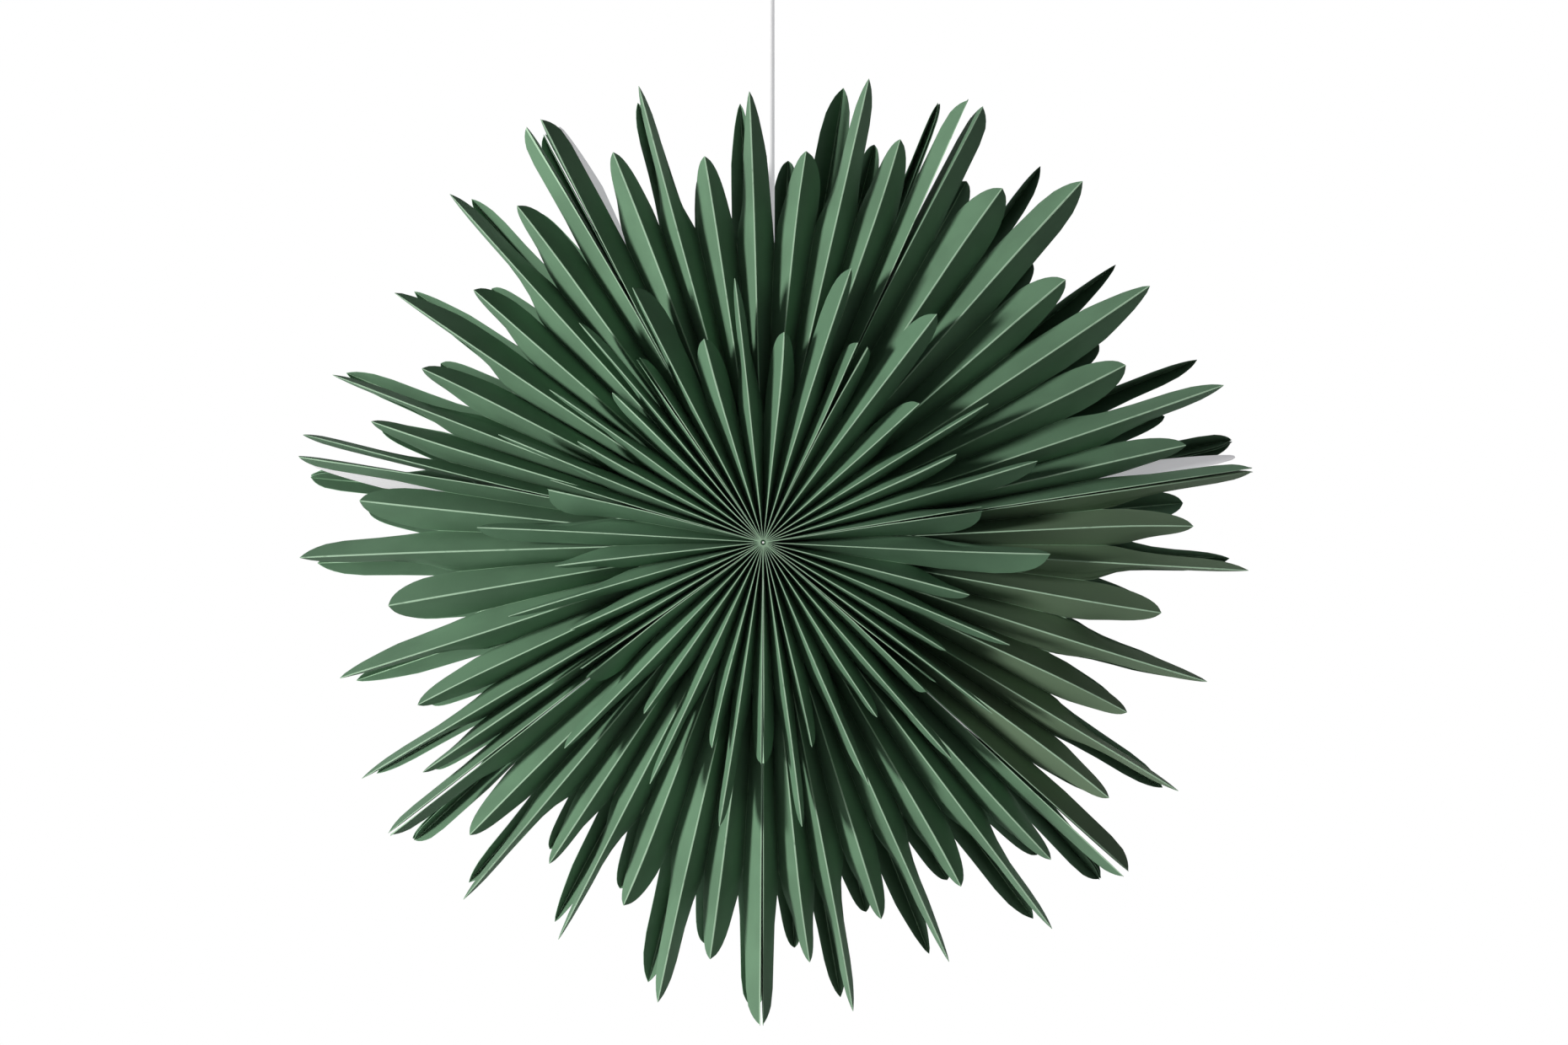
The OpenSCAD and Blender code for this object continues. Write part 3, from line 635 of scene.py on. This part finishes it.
def bump(tree, shader, height, strength, distance):
    made = add_node(tree, "ShaderNodeBump")
    made.inputs["Strength"].default_value = strength
    made.inputs["Distance"].default_value = distance
    tree.links.new(height, made.inputs["Height"])
    tree.links.new(made.outputs["Normal"], shader.inputs["Normal"])


def object_coords(tree):
    return add_node(tree, "ShaderNodeTexCoord").outputs["Object"]


def attribute(tree, name):
    return add_node(tree, "ShaderNodeAttribute", attribute_name=name).outputs["Fac"]


def paper_material(name, colour, settings):
    """Dyed paper with fine grain, a paler worn line along its folds and a part with painted warm light."""
    material, tree, shader = new_material(name)
    coords = object_coords(tree)
    cloudy = noise(tree, coords, 22, 4)
    grain = noise(tree, coords, 1400, 4, 0.65)
    darker = tuple(c * 0.9 for c in colour)
    lighter = tuple(min(1, c * 1.08) for c in colour)
    base = blend(tree, ramp(tree, cloudy, 0.35, 0.65), darker, lighter)
    # Warm tint by the 'fade' weight: painted warm light
    warm_lit = blend(tree, attribute(tree, "fade"), base, tuple(settings.warm_lit_colour))
    speckled = blend(tree, multiply(tree, ramp(tree, grain, 0.52, 0.75), 0.25), warm_lit, lighter)
    worn = noise(tree, coords, 160, 2)
    line = multiply(tree, ramp(tree, attribute(tree, "fold"), 0.25, 0.7), ramp(tree, worn, 0.1, 0.45))
    surface = blend(tree, line, speckled, tuple(settings.fold_colour))
    tree.links.new(surface, shader.inputs["Base Color"])
    shader.inputs["Roughness"].default_value = 0.72
    shader.inputs["Specular IOR Level"].default_value = 0.28
    return material


def plain_material(name, colour, roughness, metallic=0.0, grain_scale=0.0, grain_strength=0.1, glow=0.0):
    """One even finish, with a faint grain or a painted glow where it has them."""
    material, tree, shader = new_material(name)
    shader.inputs["Base Color"].default_value = (*colour, 1)
    shader.inputs["Roughness"].default_value = roughness
    shader.inputs["Metallic"].default_value = metallic
    # The glow is painted light: emission that keeps a part pale in shade, though it is no lamp
    if glow:
        shader.inputs["Emission Color"].default_value = (0.97, 0.97, 1, 1)
        shader.inputs["Emission Strength"].default_value = glow
    if grain_scale:
        bump(tree, shader, noise(tree, object_coords(tree), grain_scale, 3), grain_strength, 0.0002)
    return material


def tape_material():
    """Thin greyish tape with fibres along it."""
    material, tree, shader = new_material("fibrous_tape")
    coords = object_coords(tree)
    fibres = noise(tree, coords, 700, 6, 0.8)
    colour = blend(tree, ramp(tree, fibres, 0.4, 0.6), (0.22, 0.25, 0.23), (0.62, 0.64, 0.62))
    tree.links.new(colour, shader.inputs["Base Color"])
    shader.inputs["Roughness"].default_value = 0.5
    bump(tree, shader, fibres, 0.4, 0.0002)
    return material


# Settings


def colour_setting(name, description, default):
    return bpy.props.FloatVectorProperty(
        name=name, description=description, subtype="COLOR", size=3, default=default
    )


def length_setting(name, description, default, low):
    return bpy.props.FloatProperty(
        name=name, description=description, default=default, min=low, unit="LENGTH"
    )


def power_setting(name, description, default):
    return bpy.props.FloatProperty(
        name=name, description=description, default=default, min=0, unit="POWER"
    )


class PaperSettings(bpy.types.PropertyGroup):
    """Sizes and colours of the folded paper."""

    thickness: length_setting("Thickness", "Thickness of the green paper", 0.0003, 0.0001)
    crest: bpy.props.FloatProperty(
        name="Crest", description="Half width of a ridge fold, in millimetres", default=0.42, min=0.1, max=1
    )
    colour: colour_setting("Paper", "Colour of the green paper", (0.132, 0.247, 0.151))
    fan_colour: colour_setting("Fans", "Colour of the fans' paper", (0.127, 0.246, 0.149))
    fold_colour: colour_setting("Folds", "Colour of the worn folds", (0.42, 0.62, 0.44))
    # Warm tint that stands for painted warm light on one unit's front
    warm_lit_colour: colour_setting("Warm_light", "Colour of the faded paper", (0.165, 0.25, 0.155))
    card_colour: colour_setting("Card", "Colour of the card in the seams", (0.78, 0.76, 0.78))


class CordSettings(bpy.types.PropertyGroup):
    """Size and colour of the cord."""

    diameter: length_setting("Diameter", "Diameter of the cord", 0.006, 0.003)
    colour: colour_setting("Colour", "Colour of the cord", (0.8, 0.8, 0.8))


class StudioSettings(bpy.types.PropertyGroup):
    """Camera distance and the strengths of the light."""

    distance: length_setting("Camera distance", "From the front petals to the camera", 3.0, 1)
    key_power: power_setting("Key light", "Power of the lamp on the left", 67)
    fill_power: power_setting("Fill light", "Power of the lamp on the right", 1.8)
    sky: bpy.props.FloatProperty(
        name="Room light", description="Strength of the even light from all round", default=0.022, min=0
    )


# Operators

PHOTO_WIDTH = 1860
PHOTO_HEIGHT = 1240
# The hub's place in the photograph, and the millimetres per pixel at the front petals
HUB_PIXEL = (905.5, 643.5)
MM_PER_PIXEL = 0.531
SENSOR_MM = 36.0
CORD_POINTS = 12


class STAR_OT_camera(bpy.types.Operator):
    """Set the camera at the photograph's view"""

    bl_idname = "star.camera"
    bl_label = "Camera"

    def execute(self, context):
        settings = context.scene.star_studio
        camera = add_object("Camera", bpy.data.cameras.new("Camera"))
        right = (PHOTO_WIDTH / 2 - HUB_PIXEL[0]) * MM_PER_PIXEL
        up = (HUB_PIXEL[1] - PHOTO_HEIGHT / 2) * MM_PER_PIXEL
        camera.location = place(0, 0, 0, -RIDGE_Y - settings.distance / MM) + np.array([right, 0, up]) * MM
        camera.rotation_euler = (math.radians(90), 0, 0)
        camera.data.sensor_width = SENSOR_MM
        view_width = PHOTO_WIDTH * MM_PER_PIXEL * MM
        camera.data.lens = SENSOR_MM * settings.distance / view_width
        camera.data.clip_start = 0.05
        context.scene.camera = camera
        return {"FINISHED"}


class STAR_OT_cord(bpy.types.Operator):
    """Hang the taut cord between the holder's grip and the ceiling cup"""

    bl_idname = "star.cord"
    bl_label = "Cord"

    def execute(self, context):
        settings = context.scene.star_cord
        low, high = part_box("cord")
        curve = bpy.data.curves.new("hanging_cord", "CURVE")
        curve.dimensions = "3D"
        curve.bevel_depth = settings.diameter / 2
        curve.bevel_resolution = 6
        curve.use_fill_caps = True
        line = curve.splines.new("POLY")
        line.points.add(CORD_POINTS - 1)
        for i, point in enumerate(line.points):
            point.co = (0, 0, mix(low.z, high.z, i / (CORD_POINTS - 1)), 1)
        cord = add_object("hanging_cord", curve)
        # The cord's sheath gets a painted glow that keeps it pale against the white room
        curve.materials.append(plain_material("cord_sheath", tuple(settings.colour), 0.45, glow=CORD_PAINTED_GLOW))
        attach(cord, "root")
        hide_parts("cord")
        return {"FINISHED"}


def rear_degs(k, degs, turn_first, turn_last):
    """Directions of the rear ridges: those in front, turned with the seams and swayed between them."""
    count = len(degs) - 1
    return [
        deg + mix(turn_first, turn_last, i / count) + REAR_SWAY[k] * math.sin(math.pi * i / count)
        for i, deg in enumerate(degs)
    ]


def gaps_of(seam_gaps, k):
    """Openings of unit k's first and last seam, on the unit's own sides."""
    return seam_gaps[k][1], seam_gaps[(k + 1) % UNITS][0]


def rear_lean(k):
    """Sideways lean of the tips of the rear lobes at a seam."""
    return math.radians(REAR_LEAN[k % UNITS]) * UNIT_TIPS[0]


def rear_opens(k, count):
    """How far the flanks of a unit's rear petals stand open."""
    return [REAR_OPEN_AT[k].get(i, (REAR_OPEN, REAR_OPEN)) for i in range(count)]


def sides_of(k, seams, petals):
    """Directions of the ridges of sheet k in front and behind."""
    last = seams[(k + 1) % UNITS] + (360 if k == UNITS - 1 else 0)
    front = [seams[k], *petals[k], last]
    return front, rear_degs(k, front, SEAM_TURN[k], SEAM_TURN[(k + 1) % UNITS])


class STAR_OT_units(bpy.types.Operator):
    """Fold the seven units, each one sheet with pleats in front and behind"""

    bl_idname = "star.units"
    bl_label = "Folded units"

    def execute(self, context):
        settings = context.scene.star_paper
        paper = paper_material("green_paper_sheet", settings.colour, settings)
        rim = plain_material("green_paper_cut", cut_colour(settings.colour), CUT_ROUGHNESS)
        form = (UNIT_TIPS, UNIT_NOTCHES, UNIT_OUTLINES)
        for k in range(UNITS):
            rng = np.random.default_rng(SEED + k)
            front, rear = sides_of(k, SEAM_DEG, PETAL_DEG)
            sheet = Sheet(-1, RIDGE_Y, PLEAT_W, UNIT_START_R, settings.crest)
            gaps = gaps_of(SEAM_GAPS, k)
            front_columns, front_marks = pleats(sheet, front, form, UNIT_OPEN[k], gaps, rng, RING_SHIFT)
            sheet = Sheet(1, RIDGE_Y, PLEAT_W, UNIT_START_R, settings.crest)
            gaps = (rear_lean(k), -rear_lean(k + 1))
            opens = rear_opens(k, len(rear))
            rear_columns, rear_marks = pleats(sheet, rear, form, opens, gaps, rng, RING_SHIFT)
            last_panel = end_panel(k + 1, -1)
            first_panel = end_panel(k, 1)
            columns = front_columns + last_panel + rear_columns[::-1] + first_panel[::-1]
            marks = front_marks + [PLAIN] * len(last_panel)
            marks += rear_marks[::-1] + [PLAIN] * len(first_panel)
            name = f"folded_unit_{k + 1}"
            mesh = band_mesh(name, columns, marks, True)
            # Only the warm-lit unit gets the painted warm light
            mark_warm_lit(mesh, 1.0 if k == WARM_LIT_UNIT else 0)
            finish_sheet(name, mesh, (paper, rim), settings.thickness, f"unit_{k + 1}")
        return {"FINISHED"}


def fan_flange(sheet, degs, which, depth_side, gap):
    """Columns of a fan's flange along a seam, from its ridge back to the unit."""
    side = 1 if which == 0 else -1
    hub_deg = hub_directions(sheet, degs)[which]
    deg = degs[which]
    columns = []
    for share in SHARES[1:]:
        y = depth_side * (FAN_RIDGE_Y - share * PLEAT_W)
        height = smooth_curve(*FAN_SEAM_OUTLINE, share)
        edge = FAN_NOTCHES[0] + (FAN_TIPS[0] - FAN_NOTCHES[0]) * height
        start = place(FAN_START_R, hub_deg, 0, y)
        r = FAN_START_R + (edge - FAN_START_R) * ROWS
        shift = gap * gap_share(r, FAN_TIPS[0]) * (1 - FLANGE_HELD * share)
        column = mix(start, place(edge, deg, side * SEAM_HALF, y), ROWS[:, None])
        columns.append(column + across(deg) * shift[:, None])
    return columns


class STAR_OT_fans(bpy.types.Operator):
    """Fold the smaller fans on the front and the rear"""

    bl_idname = "star.fans"
    bl_label = "Fans"

    def execute(self, context):
        settings = context.scene.star_paper
        paper = paper_material("green_fan_sheet", settings.fan_colour, settings)
        rim = plain_material("green_fan_cut", cut_colour(settings.fan_colour), CUT_ROUGHNESS)
        form = (FAN_TIPS, FAN_NOTCHES, FAN_OUTLINES)
        for k in range(UNITS):
            front, rear = sides_of(k, FAN_SEAM_DEG, FAN_PETAL_DEG)
            for depth_side, degs, word in ((-1, front, "front"), (1, rear, "rear")):
                rng = np.random.default_rng(FAN_SEED + 2 * k + (depth_side > 0))
                crest = settings.crest * FAN_CREST
                sheet = Sheet(depth_side, FAN_RIDGE_Y, PLEAT_W, FAN_START_R, crest)
                opens = FAN_OPEN[k] if depth_side < 0 else [(REAR_OPEN, REAR_OPEN)] * len(degs)
                gaps = gaps_of(FAN_GAPS, k) if depth_side < 0 else (0, 0)
                side, marks = pleats(sheet, degs, form, opens, gaps, rng, 0)
                first = fan_flange(sheet, degs, 0, depth_side, gaps[0])[::-1]
                last = fan_flange(sheet, degs, -1, depth_side, -gaps[1])
                columns = first + side + last
                marks = [PLAIN] * len(first) + marks + [PLAIN] * len(last)
                if depth_side > 0:
                    columns, marks = columns[::-1], marks[::-1]
                name = f"{word}_folded_fan_{k + 1}"
                mesh = band_mesh(name, columns, marks, False)
                mark_warm_lit(mesh, 0)
                node = f"{word}_fan_{k + 1}"
                finish_sheet(name, mesh, (paper, rim), settings.thickness, node)
        return {"FINISHED"}


def card_column(k, y):
    """Column of the white card in a seam at a depth. Its free end leans, and its corners are cut back."""
    rear_cut, rear_from, rear_run = REAR_CORNER
    front_cut, front_from, front_run = FRONT_CORNER
    edge = CARD_END_R + ring_reach(seam_at(k, y))
    edge -= rear_cut * np.clip((y - rear_from) / rear_run, 0, 1) ** 1.3
    edge -= front_cut * np.clip((-y - front_from) / front_run, 0, 1) ** 2
    r = CARD_START_R + (edge - CARD_START_R) * ROWS
    full_lean = CARD_LEAN[k] * (y + RIDGE_Y) / (RIDGE_Y + PLEAT_W)
    lean = full_lean * smoothstep((r - CARD_LEAN_R) / CARD_LEAN_RUN)
    return place(r, seam_at(k, y) + lean, 0, y)


def tape_column(y):
    """Column of the greyish tape that bridges the seam where the star closes."""
    r = mix(*TAPE_RADII, ROWS)
    deg = SEAM_DEG[CLOSING_SEAM] + TAPE_WAVE_DEG * np.sin(r / TAPE_WAVE_RUN)
    middle = (TAPE_DEPTHS[0] + TAPE_DEPTHS[1]) / 2
    return place(r, deg, (y - middle) * TAPE_SLANT, y)


class STAR_OT_cards(bpy.types.Operator):
    """Put the white card in the seams and the tape that closes the star"""

    bl_idname = "star.cards"
    bl_label = "Seam cards and tape"

    def execute(self, context):
        settings = context.scene.star_paper
        # The card and its cut edge get a painted glow that keeps them white in the shaded seams
        card = plain_material("seam_card_white", tuple(settings.card_colour), 0.7, glow=CARD_PAINTED_GLOW)
        rim = plain_material("seam_card_cut", tuple(settings.card_colour), CUT_ROUGHNESS, glow=CARD_PAINTED_GLOW)
        for k in range(UNITS):
            columns = [card_column(k, y) for y in np.linspace(*CARD_DEPTHS, CARD_COLUMNS)]
            name = f"white_card_{k + 1}"
            mesh = band_mesh(name, columns, [PLAIN] * len(columns), False)
            finish_sheet(name, mesh, (card, rim), CARD_T * MM, f"seam_card_{k + 1}")
        columns = [tape_column(y) for y in np.linspace(*TAPE_DEPTHS, TAPE_COLUMNS)]
        mesh = band_mesh("closing_tape", columns, [PLAIN] * len(columns), False)
        tape = tape_material()
        finish_sheet("closing_tape", mesh, (tape, tape), CARD_T * MM, "closing_pads")
        return {"FINISHED"}


def finish_node(node, *materials):
    """Give a CAD node its finish, in place of the plain one."""
    data = NODES[node].data
    data.materials.clear()
    for material in materials:
        data.materials.append(material)


class STAR_OT_lamp(bpy.types.Operator):
    """Finish the bulb, the lamp holder and what carries them"""

    bl_idname = "star.lamp"
    bl_label = "Lamp parts"

    def execute(self, context):
        plastic = plain_material("holder_plastic", (0.78, 0.78, 0.77), 0.35)
        finish_node("lamp_holder", plastic)
        finish_node("shade_ring", plastic)
        finish_node("holder_grip", plastic)
        board = plain_material("carrier_board", (0.74, 0.73, 0.7), 0.75, grain_scale=700)
        finish_node("lamp_carrier", board)
        glass = plain_material("opal_glass", (0.86, 0.85, 0.82), 0.18)
        cap = plain_material("bulb_cap_metal", (0.62, 0.62, 0.6), 0.28, metallic=1.0)
        finish_node("bulb", glass, cap)
        low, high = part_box("bulb")
        cap_z = high.z - BULB_CAP * MM
        for face in NODES["bulb"].data.polygons:
            face.material_index = 1 if face.center.z > cap_z else 0
        return {"FINISHED"}


class STAR_OT_hub(bpy.types.Operator):
    """Finish the rolled core and its pins"""

    bl_idname = "star.hub"
    bl_label = "Hub"

    def execute(self, context):
        # The core is a real roll of the green paper; its darker tone is painted shade of the deep centre
        # where the pleats meet
        finish_node("hub_core", plain_material("core_roll_painted_shade", (0.05, 0.13, 0.07), 0.8, grain_scale=800))
        finish_node("hub_pins", plain_material("pin_head_steel", (0.8, 0.8, 0.78), 0.2, metallic=1.0))
        return {"FINISHED"}


class STAR_OT_fittings(bpy.types.Operator):
    """Finish the ceiling cup and its fittings"""

    bl_idname = "star.fittings"
    bl_label = "Ceiling fittings"

    def execute(self, context):
        enamel = plain_material("cup_enamel", (0.8, 0.8, 0.79), 0.3)
        finish_node("ceiling_cup", enamel)
        finish_node("cup_grip", enamel)
        finish_node("ceiling_bracket", plain_material("zinc_plate", (0.55, 0.56, 0.57), 0.4, metallic=1.0))
        finish_node("cup_screws", plain_material("screw_steel", (0.6, 0.6, 0.58), 0.3, metallic=1.0))
        return {"FINISHED"}


def studio_white(name):
    """White to the camera and in reflections, pale grey to the light."""
    material, tree, shader = new_material(name)
    shader.inputs["Base Color"].default_value = (0.6, 0.6, 0.6, 1)
    shader.inputs["Roughness"].default_value = 0.9
    glow = add_node(tree, "ShaderNodeEmission")
    glow.inputs["Strength"].default_value = 0.8
    total = add_node(tree, "ShaderNodeAddShader")
    seen = add_node(tree, "ShaderNodeMixShader")
    path = add_node(tree, "ShaderNodeLightPath")
    both = add_node(tree, "ShaderNodeMath", operation="MAXIMUM")
    tree.links.new(path.outputs["Is Camera Ray"], both.inputs[0])
    tree.links.new(path.outputs["Is Glossy Ray"], both.inputs[1])
    tree.links.new(shader.outputs["BSDF"], total.inputs[0])
    tree.links.new(glow.outputs["Emission"], total.inputs[1])
    tree.links.new(both.outputs["Value"], seen.inputs["Fac"])
    tree.links.new(shader.outputs["BSDF"], seen.inputs[1])
    tree.links.new(total.outputs["Shader"], seen.inputs[2])
    tree.links.new(seen.outputs["Shader"], tree.nodes["Material Output"].inputs["Surface"])
    return material


def area_lamp(name, direction_deg, height_deg, distance, size, power, colour):
    """Soft lamp round the hub: direction 0 is in front and 90 on the left."""
    data = bpy.data.lights.new(name, "AREA")
    data.shape = "DISK"
    data.size = size
    data.energy = power
    data.color = colour
    lamp = add_object(name, data)
    a, h = math.radians(direction_deg), math.radians(height_deg)
    away = Vector((-math.sin(a) * math.cos(h), -math.cos(a) * math.cos(h), math.sin(h)))
    lamp.location = Vector(HUB) + away * distance
    lamp.rotation_euler = away.to_track_quat("Z", "Y").to_euler()
    return lamp


# Half the floor's side and its distance under the hub, in metres
FLOOR_HALF = 2.6
FLOOR_DROP = 0.75
FLOOR_CORNERS = ((-1, -1), (1, -1), (1, 1), (-1, 1))


class STAR_OT_studio(bpy.types.Operator):
    """Set the pale floor, the white surroundings and the soft light"""

    bl_idname = "star.studio"
    bl_label = "Studio"

    def execute(self, context):
        settings = context.scene.star_studio
        mesh = bpy.data.meshes.new("studio_floor")
        corners = [(x * FLOOR_HALF, y * FLOOR_HALF, HUB[2] - FLOOR_DROP) for x, y in FLOOR_CORNERS]
        mesh.from_pydata(corners, [], [(0, 1, 2, 3)])
        mesh.materials.append(studio_white("studio_white"))
        add_object("studio_floor", mesh)
        world = bpy.data.worlds.new("studio_room")
        world.use_nodes = True
        context.scene.world = world
        tree = world.node_tree
        room = tree.nodes["Background"]
        room.inputs["Color"].default_value = (0.93, 0.97, 1, 1)
        room.inputs["Strength"].default_value = settings.sky
        white = add_node(tree, "ShaderNodeBackground")
        white.inputs["Color"].default_value = (1, 1, 1, 1)
        seen = add_node(tree, "ShaderNodeMixShader")
        path = add_node(tree, "ShaderNodeLightPath")
        either = add_node(tree, "ShaderNodeMath", operation="MAXIMUM")
        any_ray = add_node(tree, "ShaderNodeMath", operation="MAXIMUM")
        tree.links.new(path.outputs["Is Camera Ray"], either.inputs[0])
        tree.links.new(path.outputs["Is Glossy Ray"], either.inputs[1])
        tree.links.new(either.outputs["Value"], any_ray.inputs[0])
        tree.links.new(path.outputs["Is Transmission Ray"], any_ray.inputs[1])
        tree.links.new(any_ray.outputs["Value"], seen.inputs["Fac"])
        tree.links.new(room.outputs["Background"], seen.inputs[1])
        tree.links.new(white.outputs["Background"], seen.inputs[2])
        tree.links.new(seen.outputs["Shader"], tree.nodes["World Output"].inputs["Surface"])
        area_lamp(
            "key_left",
            direction_deg=52,
            height_deg=4,
            distance=2.6,
            size=0.5,
            power=settings.key_power,
            colour=(1, 0.99, 0.97),
        )
        area_lamp(
            "fill_right",
            direction_deg=-60,
            height_deg=-20,
            distance=2.6,
            size=1.2,
            power=settings.fill_power,
            colour=(1, 0.86, 0.76),
        )
        context.scene.view_settings.view_transform = "Standard"
        return {"FINISHED"}


class STAR_PT_panel(bpy.types.Panel):
    """Lists the steps that build the lamp"""

    bl_idname = "STAR_PT_panel"
    bl_label = "Paper star"
    bl_space_type = "VIEW_3D"
    bl_region_type = "UI"
    bl_category = "Paper star"

    def draw(self, context):
        for operator in OPERATORS:
            self.layout.operator(operator.bl_idname)


SETTINGS = {"star_paper": PaperSettings, "star_cord": CordSettings, "star_studio": StudioSettings}
OPERATORS = (
    STAR_OT_camera,
    STAR_OT_cord,
    STAR_OT_units,
    STAR_OT_fans,
    STAR_OT_cards,
    STAR_OT_lamp,
    STAR_OT_hub,
    STAR_OT_fittings,
    STAR_OT_studio,
)


def register():
    for settings in SETTINGS.values():
        bpy.utils.register_class(settings)
    for operator in OPERATORS:
        bpy.utils.register_class(operator)
    bpy.utils.register_class(STAR_PT_panel)
    for name, settings in SETTINGS.items():
        make_group(name, settings)


def unregister():
    for name in SETTINGS:
        delattr(bpy.types.Scene, name)
    bpy.utils.unregister_class(STAR_PT_panel)
    for operator in reversed(OPERATORS):
        bpy.utils.unregister_class(operator)
    for settings in reversed(SETTINGS.values()):
        bpy.utils.unregister_class(settings)


def main():
    register()
    for operator in OPERATORS:
        group, name = operator.bl_idname.split(".")
        getattr(getattr(bpy.ops, group), name)()


if __name__ == "__main__":
    main()
